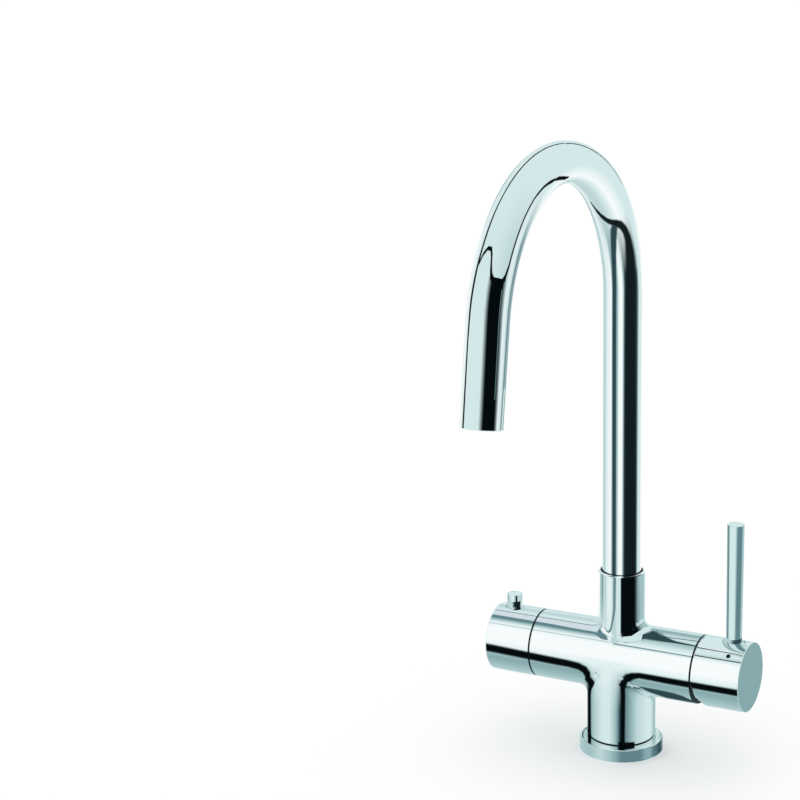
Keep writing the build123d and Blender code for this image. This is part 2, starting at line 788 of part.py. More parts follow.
# Mixer handle: its rim is cut back underneath so that it can tilt outwards
lever_x = mixer_side * (handle_end - lever_setback)
lever_foot = bar_height + bar_radius - lever_seat_depth
lever_thread_end = lever_foot - lever_thread_length
screw_x = mixer_side * (handle_end - set_screw_setback)
relief_normal = Vector(mixer_side * math.cos(tilt), 0, math.sin(tilt))
relief_gap = pivot_setback - seam_ring_width - tilt_gap
relief_point = Vector(pivot_x, 0, bar_height) - relief_normal * relief_gap
dot_tilt = math.radians(dot_angle)
dot_out = Vector(0, -math.cos(dot_tilt), math.sin(dot_tilt))
dot_base = Vector(mixer_side * (handle_end - dot_setback), 0, bar_height)
with BuildPart() as mixer_handle:
    with BuildSketch(along(mixer_side)):
        band(handle_start, handle_end, 0, bar_radius)
        band(handle_start, handle_floor, 0, handle_bore, Mode.SUBTRACT)
    revolve(axis=bar_axis)
    fillet(mixer_handle.edges().filter_by(GeomType.CIRCLE).sort_by(Axis.X)[-1], handle_edge)
    with BuildSketch(across(handle_floor, mixer_side)):
        Rectangle(2 * (stem_half + close_fit), 2 * (stem_half + close_fit))
    extrude(amount=stem_reach + close_fit, mode=Mode.SUBTRACT)
    split(bisect_by=Plane(origin=relief_point, z_dir=relief_normal), keep=Keep.TOP)
    handle_crown = bar_height + bar_radius + overcut
    lever_seat = (lever_x, 0, lever_foot)
    rod(lever_seat, (lever_x, 0, handle_crown), lever_foot_radius + close_fit, Mode.SUBTRACT)
    rod((lever_x, 0, lever_thread_end), lever_seat, lever_thread_radius + close_fit, Mode.SUBTRACT)
    handle_under = (screw_x, 0, bar_height - bar_radius - overcut)
    rod(handle_under, (screw_x, 0, bar_height), set_screw_radius + thread_fit, Mode.SUBTRACT)
    dot_floor = dot_base + dot_out * (bar_radius - dot_depth)
    rod(dot_floor, dot_base + dot_out * (bar_radius + overcut), dot_radius, Mode.SUBTRACT)
mixer_handle.part.label = "mixer_handle"
export_step(mixer_handle.part, "parts/mixer_handle.step")

# Lever: a slim rod, a little thicker towards its tip, screwed into the handle
with BuildPart() as mixer_lever:
    with BuildSketch(Plane(origin=(lever_x, 0, 0), x_dir=(0, 0, 1), z_dir=(0, 1, 0))):
        lever_top = bar_height + bar_radius + lever_height
        with BuildLine():
            Polyline(
                (lever_thread_end + close_fit, 0),
                (lever_thread_end + close_fit, lever_thread_radius),
                (lever_foot, lever_thread_radius),
                (lever_foot, lever_foot_radius),
                (lever_top, lever_tip_radius),
                (lever_top, 0),
                close=True,
            )
        make_face()
    revolve(axis=Axis((lever_x, 0, 0), (0, 0, 1)))
    fillet(mixer_lever.edges().filter_by(GeomType.CIRCLE).sort_by(Axis.Z)[-1], lever_tip_edge)
mixer_lever.part.label = "mixer_lever"
export_step(mixer_lever.part, "parts/mixer_lever.step")

# Set screw that clamps the handle on the stem, from below
with BuildPart() as mixer_set_screw:
    screw_tip = bar_height - stem_half - close_fit
    with BuildSketch(Plane(origin=(screw_x, 0, screw_tip - set_screw_length))):
        Circle(set_screw_radius)
        RegularPolygon(set_screw_radius / 2, 6, mode=Mode.SUBTRACT)
    extrude(amount=set_screw_key_depth)
    with BuildSketch(Plane(origin=(screw_x, 0, screw_tip - set_screw_length + set_screw_key_depth))):
        Circle(set_screw_radius)
    extrude(amount=set_screw_length - set_screw_key_depth)
mixer_set_screw.part.label = "mixer_set_screw"
export_step(mixer_set_screw.part, "parts/mixer_set_screw.step")

# Dark dot that marks the lever's middle position
with BuildPart() as handle_dot:
    rod(dot_floor, dot_base + dot_out * (bar_radius - close_fit), dot_radius - close_fit)
handle_dot.part.label = "handle_dot"
export_step(handle_dot.part, "parts/handle_dot.step")

# Boiling water valve: a screwed-in body with two ceramic discs on a rubber seat. Boiling water comes up
# through the seat and the discs, and leaves by the two windows along the barrel to the edge of the seat.
seal_end = valve_seat + seat_seal_height
barrel_start = valve_seat + headwork_start
cavity_radius = boil_bore_radius - close_fit - headwork_wall
cavity_end = barrel_start + headwork_cavity
neck_end = bar_half + headwork_neck_reach
fixed_valve_end = seal_end + valve_disc_thickness
moving_valve_start = fixed_valve_end + disc_gap
moving_valve_end = moving_valve_start + valve_disc_thickness
headwork_ring_place = mouth_floor - headwork_ring_setback
with BuildPart() as boil_valve_body:
    with BuildSketch(along(boil_side)):
        bore = spindle_radius + swivel_fit
        band(barrel_start, mouth_floor, bore, boil_bore_radius - close_fit)
        band(barrel_start, cavity_end, 0, cavity_radius, Mode.SUBTRACT)
        band(
            headwork_ring_place - headwork_ring_radius - close_fit,
            headwork_ring_place + headwork_ring_radius + close_fit,
            boil_bore_radius - close_fit - 2 * headwork_ring_radius,
            boil_bore_radius,
            Mode.SUBTRACT,
        )
        band(mouth_floor + headwork_flange, neck_end, bore, headwork_neck_radius)
    revolve(axis=bar_axis)
    with BuildSketch(across(mouth_floor, boil_side)):
        RegularPolygon(headwork_flange_radius, 6)
        Circle(bore, mode=Mode.SUBTRACT)
    extrude(amount=headwork_flange)
    with BuildSketch(across(barrel_start, boil_side)):
        Rectangle(window_width, 2 * boil_bore_radius)
    extrude(amount=headwork_cavity, mode=Mode.SUBTRACT)
boil_valve_body.part.label = "boil_valve_body"
export_step(boil_valve_body.part, "parts/boil_valve_body.step")

with BuildPart() as boil_valve_seal:
    with BuildSketch(along(boil_side)):
        with Locations((headwork_ring_place, boil_bore_radius - close_fit - headwork_ring_radius)):
            Circle(headwork_ring_radius)
    revolve(axis=bar_axis)
boil_valve_seal.part.label = "boil_valve_seal"
export_step(boil_valve_seal.part, "parts/boil_valve_seal.step")

with BuildPart() as boil_seat_seal:
    with BuildSketch(along(boil_side)):
        band(valve_seat, seal_end, cavity_radius - close_fit - seat_seal_width, cavity_radius - close_fit)
    revolve(axis=bar_axis)
boil_seat_seal.part.label = "boil_seat_seal"
export_step(boil_seat_seal.part, "parts/boil_seat_seal.step")

with BuildPart() as boil_fixed_disc:
    with BuildSketch(across(seal_end, boil_side)):
        Circle(cavity_radius - close_fit)
        with Locations((0, valve_port_offset), (0, -valve_port_offset)):
            Circle(valve_port_radius, mode=Mode.SUBTRACT)
    extrude(amount=valve_disc_thickness)
boil_fixed_disc.part.label = "boil_fixed_disc"
export_step(boil_fixed_disc.part, "parts/boil_fixed_disc.step")

# At rest the moving disc's ports stand square to the fixed ones, and a quarter turn lines them up
with BuildPart() as boil_moving_disc:
    with BuildSketch(across(moving_valve_start, boil_side)):
        Circle(cavity_radius - swivel_fit)
        with Locations((valve_port_offset, 0), (-valve_port_offset, 0)):
            Circle(valve_port_radius, mode=Mode.SUBTRACT)
    extrude(amount=valve_disc_thickness)
boil_moving_disc.part.label = "boil_moving_disc"
export_step(boil_moving_disc.part, "parts/boil_moving_disc.step")

circlip_start = neck_end + close_fit
hub_start = circlip_start + circlip_thickness + knob_hub_gap
knob_floor = handle_end - knob_face
adapter_stop = knob_floor + adapter_depth
spindle_end = adapter_stop - spindle_end_gap
with BuildPart() as boil_spindle:
    with BuildSketch(along(boil_side)):
        band(moving_valve_end, hub_start, 0, spindle_radius)
        groove_floor = spindle_radius - circlip_groove
        band(circlip_start, circlip_start + circlip_thickness, groove_floor, spindle_radius, Mode.SUBTRACT)
        band(hub_start, spindle_end, 0, spindle_spline_radius)
    revolve(axis=bar_axis)
    with BuildSketch(across(moving_valve_end, boil_side)):
        Circle(cavity_radius - swivel_fit)
        Rectangle(spindle_tongue_width, 2 * cavity_radius, mode=Mode.INTERSECT)
    extrude(amount=spindle_tongue)
boil_spindle.part.label = "boil_spindle"
export_step(boil_spindle.part, "parts/boil_spindle.step")

with BuildPart() as spindle_circlip:
    with BuildSketch(along(boil_side)):
        circlip_bore = groove_floor + close_fit
        circlip_end = circlip_start + circlip_thickness
        band(circlip_start + close_fit, circlip_end - close_fit, circlip_bore, circlip_bore + circlip_width)
    revolve(axis=bar_axis, revolution_arc=360 - circlip_opening)
spindle_circlip.part.label = "spindle_circlip"
export_step(spindle_circlip.part, "parts/spindle_circlip.step")

# Black ring in the seam beside the knob
knob_bore = bar_radius - knob_wall
with BuildPart() as boil_seam_ring:
    with BuildSketch(along(boil_side)):
        band(bar_half, bar_half + seam_ring_width, boil_mouth_radius + boil_seam_ring_lip, seam_ring_outer)
    revolve(axis=bar_axis)
boil_seam_ring.part.label = "boil_seam_ring"
export_step(boil_seam_ring.part, "parts/boil_seam_ring.step")

# Steel stop ring in the casting's mouth: the pin runs in its slot, and the slot's ends are the stops
stop_ring_end = knob_floor - stop_ring_gap
stop_ring_bore = boil_mouth_radius - stop_ring_wall
pin_orbit = boil_mouth_radius - stop_ring_wall / 2
pin_margin = math.degrees(math.asin(stop_pin_radius / pin_orbit)) + stop_margin
with BuildPart() as turn_stop_ring:
    with BuildSketch(along(boil_side)):
        band(mouth_floor + stop_ring_root, stop_ring_end, stop_ring_bore, boil_mouth_radius)
    revolve(axis=bar_axis)
    with BuildSketch(across(stop_ring_end - stop_slot_length, boil_side)):
        with BuildLine():
            slot_reach = 2 * boil_mouth_radius
            slot_start = 90 - turn_range - pin_margin
            slot_arc = CenterArc((0, 0), slot_reach, slot_start, turn_range + 2 * pin_margin)
            Line((0, 0), slot_arc @ 0)
            Line((0, 0), slot_arc @ 1)
        make_face()
    extrude(amount=stop_slot_length, mode=Mode.SUBTRACT)
turn_stop_ring.part.label = "turn_stop_ring"
export_step(turn_stop_ring.part, "parts/turn_stop_ring.step")

# Boiling water knob
button_x = boil_side * (handle_end - button_setback)
pin_height = bar_height + pin_orbit
button_foot = pin_height - stop_pin_radius - button_tail
bore_bottom = button_foot - button_travel - button_clearance
pocket_bottom = bore_bottom - spring_pocket_depth
grub_x = boil_side * (handle_end - grub_setback)
with BuildPart() as boil_knob:
    with BuildSketch(along(boil_side)):
        band(handle_start, handle_end, 0, bar_radius)
        band(handle_start, knob_floor, 0, knob_bore, Mode.SUBTRACT)
        band(hub_start, knob_floor, 0, knob_hub_radius)
        band(hub_start, adapter_stop, 0, adapter_radius + close_fit, Mode.SUBTRACT)
    revolve(axis=bar_axis)
    fillet(boil_knob.edges().filter_by(GeomType.CIRCLE).sort_by(Axis.X)[0], knob_edge)
    knob_crown = bar_height + bar_radius + overcut
    rod((button_x, 0, bore_bottom), (button_x, 0, knob_crown), button_radius + button_fit, Mode.SUBTRACT)
    rod((button_x, 0, pocket_bottom), (button_x, 0, bore_bottom), spring_pocket_radius, Mode.SUBTRACT)
    # Slot in which the stop pin moves inwards with the button
    with BuildSketch(across(knob_floor - overcut, boil_side)):
        with Locations((0, pin_orbit - button_travel / 2)):
            slot_width = 2 * (stop_pin_radius + stop_pin_fit)
            Rectangle(slot_width, slot_width + button_travel)
    extrude(amount=abs(button_x) - knob_floor + overcut, mode=Mode.SUBTRACT)
    knob_under = (grub_x, 0, bar_height - bar_radius - overcut)
    rod(knob_under, (grub_x, 0, bar_height - adapter_radius), grub_radius + thread_fit, Mode.SUBTRACT)
boil_knob.part.label = "boil_knob"
export_step(boil_knob.part, "parts/boil_knob.step")

# Plastic adapter between the spindle and the knob's hub
with BuildPart() as knob_adapter:
    with BuildSketch(along(boil_side)):
        band(hub_start, adapter_stop - close_fit, 0, adapter_radius)
        band(hub_start, spindle_end + close_fit, 0, spindle_spline_radius + close_fit, Mode.SUBTRACT)
    revolve(axis=bar_axis)
knob_adapter.part.label = "knob_adapter"
export_step(knob_adapter.part, "parts/knob_adapter.step")

with BuildPart() as knob_grub_screw:
    grub_top = bar_height - adapter_radius - close_fit
    with BuildSketch(Plane(origin=(grub_x, 0, grub_top - grub_length))):
        Circle(grub_radius)
        RegularPolygon(grub_radius / 2, 6, mode=Mode.SUBTRACT)
    extrude(amount=grub_key_depth)
    with BuildSketch(Plane(origin=(grub_x, 0, grub_top - grub_length + grub_key_depth))):
        Circle(grub_radius)
    extrude(amount=grub_length - grub_key_depth)
knob_grub_screw.part.label = "knob_grub_screw"
export_step(knob_grub_screw.part, "parts/knob_grub_screw.step")

# Safety button: it slides into the knob against its spring
with BuildPart() as safety_button:
    button_top = bar_height + bar_radius + button_rise
    rod((button_x, 0, button_foot), (button_x, 0, button_top), button_radius)
    fillet(safety_button.edges().filter_by(GeomType.CIRCLE).sort_by(Axis.Z)[-1], button_edge)
    pin_end = (button_x + boil_side * stop_pin_sink, 0, pin_height)
    rod((boil_side * knob_floor, 0, pin_height), pin_end, stop_pin_radius, Mode.SUBTRACT)
safety_button.part.label = "safety_button"
export_step(safety_button.part, "parts/safety_button.step")

# Steel pin through the button's foot: it runs in the stop ring and keeps the button in the knob
with BuildPart() as stop_pin:
    pin_start = (boil_side * (stop_ring_end - stop_pin_reach), 0, pin_height)
    rod(pin_start, pin_end, stop_pin_radius - close_fit / 2)
stop_pin.part.label = "stop_pin"
export_step(stop_pin.part, "parts/stop_pin.step")

# Coil spring under the button
with BuildPart() as button_spring:
    coil_height = button_foot - pocket_bottom - 2 * spring_wire - 2 * spring_end_gap
    coil_start = pocket_bottom + spring_wire + spring_end_gap
    with BuildLine(Plane(origin=(button_x, 0, coil_start))) as coil:
        Helix(pitch=coil_height / spring_turns, height=coil_height, radius=spring_radius)
    with BuildSketch(coil.line ^ 0):
        Circle(spring_wire)
    sweep(path=coil.line, is_frenet=True)
button_spring.part.label = "button_spring"
export_step(button_spring.part, "parts/button_spring.step")
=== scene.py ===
import math
import bpy
from mathutils import Euler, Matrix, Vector


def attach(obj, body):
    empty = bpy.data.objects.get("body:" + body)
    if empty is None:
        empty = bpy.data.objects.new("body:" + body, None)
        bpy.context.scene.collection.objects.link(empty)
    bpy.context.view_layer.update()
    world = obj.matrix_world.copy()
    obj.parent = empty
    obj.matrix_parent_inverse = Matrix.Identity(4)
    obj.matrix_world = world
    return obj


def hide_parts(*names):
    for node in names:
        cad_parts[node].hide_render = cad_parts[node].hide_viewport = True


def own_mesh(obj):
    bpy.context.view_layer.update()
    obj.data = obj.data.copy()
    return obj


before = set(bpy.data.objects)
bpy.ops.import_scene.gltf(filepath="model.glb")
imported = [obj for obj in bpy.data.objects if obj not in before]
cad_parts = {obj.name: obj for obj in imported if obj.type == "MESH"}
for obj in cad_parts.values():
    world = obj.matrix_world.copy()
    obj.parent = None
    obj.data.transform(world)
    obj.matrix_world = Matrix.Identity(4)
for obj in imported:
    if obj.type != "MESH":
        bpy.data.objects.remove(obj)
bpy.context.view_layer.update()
bpy.ops.object.select_all(action="DESELECT")

# The casting
# Column, crossbar and spout collar are one brass casting, ground and buffed by hand and then
# nickel and chrome plated. The plating is a mirror, a little wavy where the wheel has run over it.


def new_finish(name):
    """A finish with one shader: the finish, its nodes, its links and the shader."""
    finish = bpy.data.materials.new(name)
    finish.use_nodes = True
    nodes = finish.node_tree.nodes
    links = finish.node_tree.links
    nodes.clear()
    output = nodes.new("ShaderNodeOutputMaterial")
    shader = nodes.new("ShaderNodeBsdfPrincipled")
    links.new(shader.outputs["BSDF"], output.inputs["Surface"])
    return finish, nodes, links, shader


def mottle(nodes, links, per_metre, detail=3.0, stretch=(1.0, 1.0, 1.0)):
    """Uneven cloudiness in the piece's own space, from 0 to 1."""
    place = nodes.new("ShaderNodeTexCoord")
    laid = nodes.new("ShaderNodeMapping")
    laid.inputs["Scale"].default_value = stretch
    cloud = nodes.new("ShaderNodeTexNoise")
    cloud.inputs["Scale"].default_value = per_metre
    cloud.inputs["Detail"].default_value = detail
    links.new(place.outputs["Object"], laid.inputs["Vector"])
    links.new(laid.outputs["Vector"], cloud.inputs["Vector"])
    return cloud.outputs["Fac"]


def spread(nodes, links, value, low, high):
    """The middle of a 0 to 1 mottle, stretched over low to high."""
    ranged = nodes.new("ShaderNodeMapRange")
    ranged.inputs["From Min"].default_value = 0.3
    ranged.inputs["From Max"].default_value = 0.7
    ranged.inputs["To Min"].default_value = low
    ranged.inputs["To Max"].default_value = high
    links.new(value, ranged.inputs["Value"])
    return ranged.outputs["Result"]


def two_tone(nodes, links, value, dark, light):
    """A colour between two close tones."""
    ramp = nodes.new("ShaderNodeValToRGB")
    ramp.color_ramp.elements[0].position = 0.3
    ramp.color_ramp.elements[0].color = (*dark, 1.0)
    ramp.color_ramp.elements[1].position = 0.7
    ramp.color_ramp.elements[1].color = (*light, 1.0)
    links.new(value, ramp.inputs["Fac"])
    return ramp.outputs["Color"]


def relief(nodes, links, height, depth, strength, under=None):
    """Bump of a real depth in metres, over another one if there is one."""
    bump = nodes.new("ShaderNodeBump")
    bump.inputs["Strength"].default_value = strength
    bump.inputs["Distance"].default_value = depth
    links.new(height, bump.inputs["Height"])
    if under is not None:
        links.new(under, bump.inputs["Normal"])
    return bump.outputs["Normal"]


def chrome_plate(name, gloss, wave):
    """Mirror plating: gloss is its roughest spot, wave the depth of the buffing marks in metres."""
    finish, nodes, links, shader = new_finish(name)
    shader.inputs["Metallic"].default_value = 1.0
    patches = mottle(nodes, links, 14.0)
    tone = two_tone(nodes, links, patches, (0.92, 0.955, 0.96), (0.95, 0.975, 0.98))
    links.new(tone, shader.inputs["Base Color"])
    haze = mottle(nodes, links, 160.0, 4.0)
    links.new(spread(nodes, links, haze, gloss * 0.45, gloss), shader.inputs["Roughness"])
    buffed = relief(nodes, links, mottle(nodes, links, 45.0, 1.0), wave, 0.3)
    grained = relief(nodes, links, mottle(nodes, links, 900.0, 2.0), wave * 0.02, 0.3, buffed)
    links.new(grained, shader.inputs["Normal"])
    return finish


def wear(finish, *names):
    """Puts a finish on pieces that keep the shape they came with."""
    for name in names:
        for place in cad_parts[name].material_slots:
            place.material = finish


cast_chrome = chrome_plate("cast_chrome", gloss=0.06, wave=0.00010)
wear(cast_chrome, "tap_body")

# Base flange
# A turned brass ring with a flat top and a square rim, chrome plated like the casting. It drops over
# the column's foot and covers the hole in the deck.

drawn_chrome = chrome_plate("drawn_chrome", gloss=0.05, wave=0.00005)
wear(drawn_chrome, "base_flange")

# Base gasket
# A flat ring of black rubber under the flange, cut from sheet and a little crushed, so that its
# edges are round. It keeps water out of the deck.


def moulded(name, dark, light, smooth, rough, grain, gloss=0.5):
    """Rubber, plastic or fired clay: two close tones, a range of roughness and a grain in metres."""
    finish, nodes, links, shader = new_finish(name)
    shader.inputs["Specular IOR Level"].default_value = gloss
    tone = two_tone(nodes, links, mottle(nodes, links, 90.0), dark, light)
    links.new(tone, shader.inputs["Base Color"])
    dull = spread(nodes, links, mottle(nodes, links, 400.0, 4.0), smooth, rough)
    links.new(dull, shader.inputs["Roughness"])
    sunk = relief(nodes, links, mottle(nodes, links, 120.0, 2.0), grain * 3.0, 0.3)
    grained = relief(nodes, links, mottle(nodes, links, 2600.0, 4.0), grain, 0.5, sunk)
    links.new(grained, shader.inputs["Normal"])
    return finish


def pick(thing, test):
    """Enters edit mode with the points chosen that pass the test."""
    bpy.ops.object.mode_set(mode="EDIT")
    bpy.ops.mesh.select_mode(type="VERT")
    bpy.ops.mesh.select_all(action="DESELECT")
    bpy.ops.object.mode_set(mode="OBJECT")
    for point in thing.data.vertices:
        point.select = test(point.co)
    bpy.ops.object.mode_set(mode="EDIT")


def pick_edges(thing, test):
    """Enters edit mode with the edges chosen whose two ends pass the test."""
    bpy.ops.object.mode_set(mode="EDIT")
    bpy.ops.mesh.select_mode(type="EDGE")
    bpy.ops.mesh.select_all(action="DESELECT")
    bpy.ops.object.mode_set(mode="OBJECT")
    points = thing.data.vertices
    for edge in thing.data.edges:
        edge.select = test(points[edge.vertices[0]].co, points[edge.vertices[1]].co)
    bpy.ops.object.mode_set(mode="EDIT")


origin = (0.0, 0.0, 0.0)
upright = (0.0, 0.0, 0.0)
smooth_up_to = math.radians(35.0)


def settle(thing, name, finish, body, replaced, turn, spot):
    """Turns a piece made round the origin, moves it to its spot and puts it on its body."""
    bpy.context.view_layer.objects.active = thing
    thing.select_set(True)
    bpy.ops.object.mode_set(mode="EDIT")
    bpy.ops.mesh.select_all(action="SELECT")
    bpy.ops.mesh.normals_make_consistent(inside=False)
    bpy.ops.object.mode_set(mode="OBJECT")
    thing.name = name
    thing.rotation_euler = turn
    thing.location = spot
    bpy.ops.object.transform_apply(location=True, rotation=True, scale=True)
    bpy.ops.object.shade_smooth_by_angle(angle=smooth_up_to)
    thing.data.materials.clear()
    thing.data.materials.append(finish)
    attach(thing, body)
    if replaced:
        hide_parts(*replaced)
    bpy.ops.object.select_all(action="DESELECT")


def round_edged_ring(inner, outer, width, edge):
    """A flat ring about Z round the origin, with its four edges rounded."""
    bpy.ops.mesh.primitive_cylinder_add(vertices=96, radius=outer, depth=width)
    ring = bpy.context.object
    bpy.ops.object.mode_set(mode="EDIT")
    bpy.ops.mesh.select_mode(type="FACE")
    bpy.ops.mesh.select_all(action="DESELECT")
    bpy.ops.object.mode_set(mode="OBJECT")
    for face in ring.data.polygons:
        face.select = abs(face.normal.z) > 0.9
    bpy.ops.object.mode_set(mode="EDIT")
    bpy.ops.mesh.inset(thickness=outer - inner)
    bpy.ops.mesh.delete(type="FACE")
    middle = (inner + outer) / 2.0
    pick_edges(ring, lambda a, b: max(a.xy.length, b.xy.length) < middle)
    bpy.ops.mesh.bridge_edge_loops()
    slack = edge / 9.0
    pick_edges(ring, lambda a, b: abs(a.z - b.z) < slack and abs(a.xy.length - b.xy.length) < slack)
    bpy.ops.mesh.bevel(offset=edge, segments=3)
    return ring


rubber = moulded("rubber", dark=(0.012, 0.012, 0.013), light=(0.028, 0.028, 0.030),
                 smooth=0.50, rough=0.72, grain=0.00003, gloss=0.3)
gasket = round_edged_ring(inner=0.02115, outer=0.02515, width=0.0020, edge=0.0005)
settle(gasket, "gasket_ring", rubber, "root", ["base_gasket"], upright, (0.0, 0.0, 0.0010))

# Sealing rings
# Every joint that holds water has a rubber ring, squeezed between two faces until it is flat where
# it touches. All are moulded round and slipped over their part: under the flange, round the spout's
# bush, on the nipple, behind the mixer's ports, and before and round the boiling valve.


def squeezed_ring(inner, outer, width):
    """A round rubber ring about Z, flat on the two sides where it is squeezed."""
    thick = (outer - inner) / 2.0
    flat_at = 0.85 * thick
    bpy.ops.mesh.primitive_torus_add(
        major_segments=72, minor_segments=20, major_radius=inner + thick, minor_radius=thick)
    ring = bpy.context.object
    for side in (1.0, -1.0):
        pick(ring, lambda point: point.z * side > 0.7 * thick)
        bpy.ops.transform.resize(value=(1.0, 1.0, 0.0), center_override=(0.0, 0.0, side * flat_at))
    pick(ring, lambda point: True)
    bpy.ops.transform.resize(value=(1.0, 1.0, width / (2.0 * flat_at)), center_override=origin)
    bpy.ops.object.mode_set(mode="OBJECT")
    return ring


def another(ring):
    """Another ring from the same mould, with a mesh of its own."""
    twin = ring.copy()
    twin.data = ring.data.copy()
    bpy.context.collection.objects.link(twin)
    return twin


def seal(node, body, turn, spots, inner, outer, width):
    """The rubber rings of one node, by name and spot: the first is moulded, the others are copied."""
    first = squeezed_ring(inner, outer, width)
    rings = [first] + [another(first) for _ in spots[1:]]
    for ring, (name, spot) in zip(rings, spots):
        settle(ring, name, rubber, body, [node] if ring is first else [], turn, spot)


lying = (0.0, math.radians(90.0), 0.0)
bar_height = 0.06475
port_x = 0.02765
port_y = 0.00463
port_height = 0.070265
seal("foot_seal", "root", upright, [("foot_ring", (0.0, 0.0, 0.0063))],
     inner=0.0211, outer=0.0225, width=0.0014)
seal("nipple_seal", "root", upright, [("nipple_ring", (0.0, 0.0, 0.08955))],
     inner=0.0023, outer=0.0030, width=0.0011)
seal("boil_seat_seal", "root", lying, [("seat_ring", (-0.0282, 0.0, bar_height))],
     inner=0.0056, outer=0.0086, width=0.0024)
seal("boil_valve_seal", "root", lying, [("valve_ring", (-0.0420, 0.0, bar_height))],
     inner=0.00925, outer=0.01045, width=0.0012)
seal("mixer_port_seals", "root", lying, [
    ("port_ring_1", (port_x, 0.0, bar_height)),
    ("port_ring_2", (port_x, port_y, port_height)),
    ("port_ring_3", (port_x, -port_y, port_height))], inner=0.0024, outer=0.00335, width=0.0013)
seal("spout_seals", "spout", upright, [
    ("spout_ring_low", (0.0, 0.0, 0.0906)),
    ("spout_ring_high", (0.0, 0.0, 0.0944))], inner=0.01145, outer=0.01275, width=0.0013)

# Spout
# The swivel spout is a drawn brass tube bent over a mandrel, polished and chromed, with a plain
# sleeve behind its tip. It turns in the collar on a black slide ring.

wear(drawn_chrome, "spout_tube", "outlet_sleeve")
slide_plastic = moulded("slide_plastic", dark=(0.006, 0.006, 0.007), light=(0.012, 0.012, 0.013),
                        smooth=0.38, rough=0.55, grain=0.00001, gloss=0.25)
slide_ring = round_edged_ring(inner=0.01283, outer=0.01393, width=0.0019, edge=0.00025)
settle(slide_ring, "slide_ring", slide_plastic, "root", ["glide_ring"],
       upright, (0.0, 0.0, 0.12285))

# Bush, nipple and inner tube
# Inside, the spout stands on a turned brass bush held by a spring clip. A brass nipple leads the
# boiling water through its middle into a thin steel tube of its own.


def turned_metal(name, dark, light, smooth, rough, along):
    """Bare metal with fine rings left by the lathe; along is the axis it was turned about."""
    finish, nodes, links, shader = new_finish(name)
    shader.inputs["Metallic"].default_value = 1.0
    tone = two_tone(nodes, links, mottle(nodes, links, 60.0), dark, light)
    links.new(tone, shader.inputs["Base Color"])
    rings = mottle(nodes, links, 5200.0, 2.0, along)
    links.new(spread(nodes, links, rings, smooth, rough), shader.inputs["Roughness"])
    dulled = relief(nodes, links, mottle(nodes, links, 300.0), 0.00003, 0.3)
    links.new(relief(nodes, links, rings, 0.00001, 0.6, dulled), shader.inputs["Normal"])
    return finish


about_z = (0.0, 0.0, 1.0)
brass_dark = (0.58, 0.39, 0.15)
brass_light = (0.74, 0.53, 0.24)
steel_dark = (0.50, 0.50, 0.49)
steel_light = (0.62, 0.62, 0.61)
brass_about_z = turned_metal("brass_about_z", brass_dark, brass_light, smooth=0.20, rough=0.36, along=about_z)
wear(brass_about_z, "spout_bush", "boil_nipple")
steel_about_z = turned_metal("steel_about_z", steel_dark, steel_light, smooth=0.22, rough=0.36, along=about_z)
wear(steel_about_z, "spout_clip", "boiling_tube")

# Outlet
# A pale plastic insert fills the tip: a flow straightener with a ring of holes and, in its middle,
# the nozzle of the boiling water tube. A flat rubber washer sits behind it.

outlet_plastic = moulded("outlet_plastic", dark=(0.42, 0.44, 0.45), light=(0.52, 0.54, 0.55),
                         smooth=0.32, rough=0.48, grain=0.00001)
wear(outlet_plastic, "flow_insert", "boiling_nozzle")
wear(rubber, "outlet_washer")

# Mixer cartridge
# A standard ceramic cartridge: moulded plastic shell and carrier, two lapped ceramic discs, a turret
# with a steel pin, all held down by a turned brass ring nut with a chromed dome over it.

cartridge_plastic = moulded("cartridge_plastic", dark=(0.62, 0.62, 0.58), light=(0.72, 0.72, 0.68),
                            smooth=0.35, rough=0.52, grain=0.00001)
wear(cartridge_plastic, "mixer_port_plate", "mixer_cartridge_shell", "mixer_disc_carrier", "mixer_turret")
ceramic = moulded("ceramic", dark=(0.80, 0.79, 0.75), light=(0.88, 0.87, 0.84),
                  smooth=0.10, rough=0.22, grain=0.000004)
wear(ceramic, "mixer_fixed_disc", "mixer_moving_disc")
about_x = (1.0, 0.0, 0.0)
about_y = (0.0, 1.0, 0.0)
brass_about_x = turned_metal("brass_about_x", brass_dark, brass_light, smooth=0.20, rough=0.36, along=about_x)
wear(brass_about_x, "mixer_cartridge_nut")
steel_about_x = turned_metal("steel_about_x", steel_dark, steel_light, smooth=0.20, rough=0.34, along=about_x)
steel_about_y = turned_metal("steel_about_y", steel_dark, steel_light, smooth=0.20, rough=0.34, along=about_y)
wear(steel_about_x, "mixer_stem")
wear(steel_about_y, "mixer_pivot_pin")
wear(drawn_chrome, "mixer_dome")

# Seam rings
# A black nylon ring fills the narrow seam at each end of the crossbar. It stands just below the
# chrome and is all that is seen between the bar and the two turning ends.

seam_x = 0.0569
seam_radius = 0.0223
mixer_seam = round_edged_ring(inner=0.02065, outer=seam_radius, width=0.0010, edge=0.00015)
settle(mixer_seam, "seam_ring_mixer", slide_plastic, "root", ["mixer_seam_ring"],
       lying, (seam_x, 0.0, bar_height))
boil_seam = round_edged_ring(inner=0.0180, outer=seam_radius, width=0.0010, edge=0.00015)
settle(boil_seam, "seam_ring_boil", slide_plastic, "root", ["boil_seam_ring"],
       lying, (-seam_x, 0.0, bar_height))

# Mixer handle
# A turned and chromed brass barrel with a flat end face, and a slim round lever pressed into its
# top. A socket screw from below clamps it on the cartridge's stem, and a black dot marks its front.


def draw_out(by):
    """Draws what is chosen out along Z."""
    bpy.ops.mesh.extrude_region_move(TRANSFORM_OT_translate={"value": (0.0, 0.0, by)})


def widen(by):
    """Widens what is chosen round Z, or narrows it."""
    bpy.ops.transform.resize(value=(by, by, 1.0), center_override=origin)


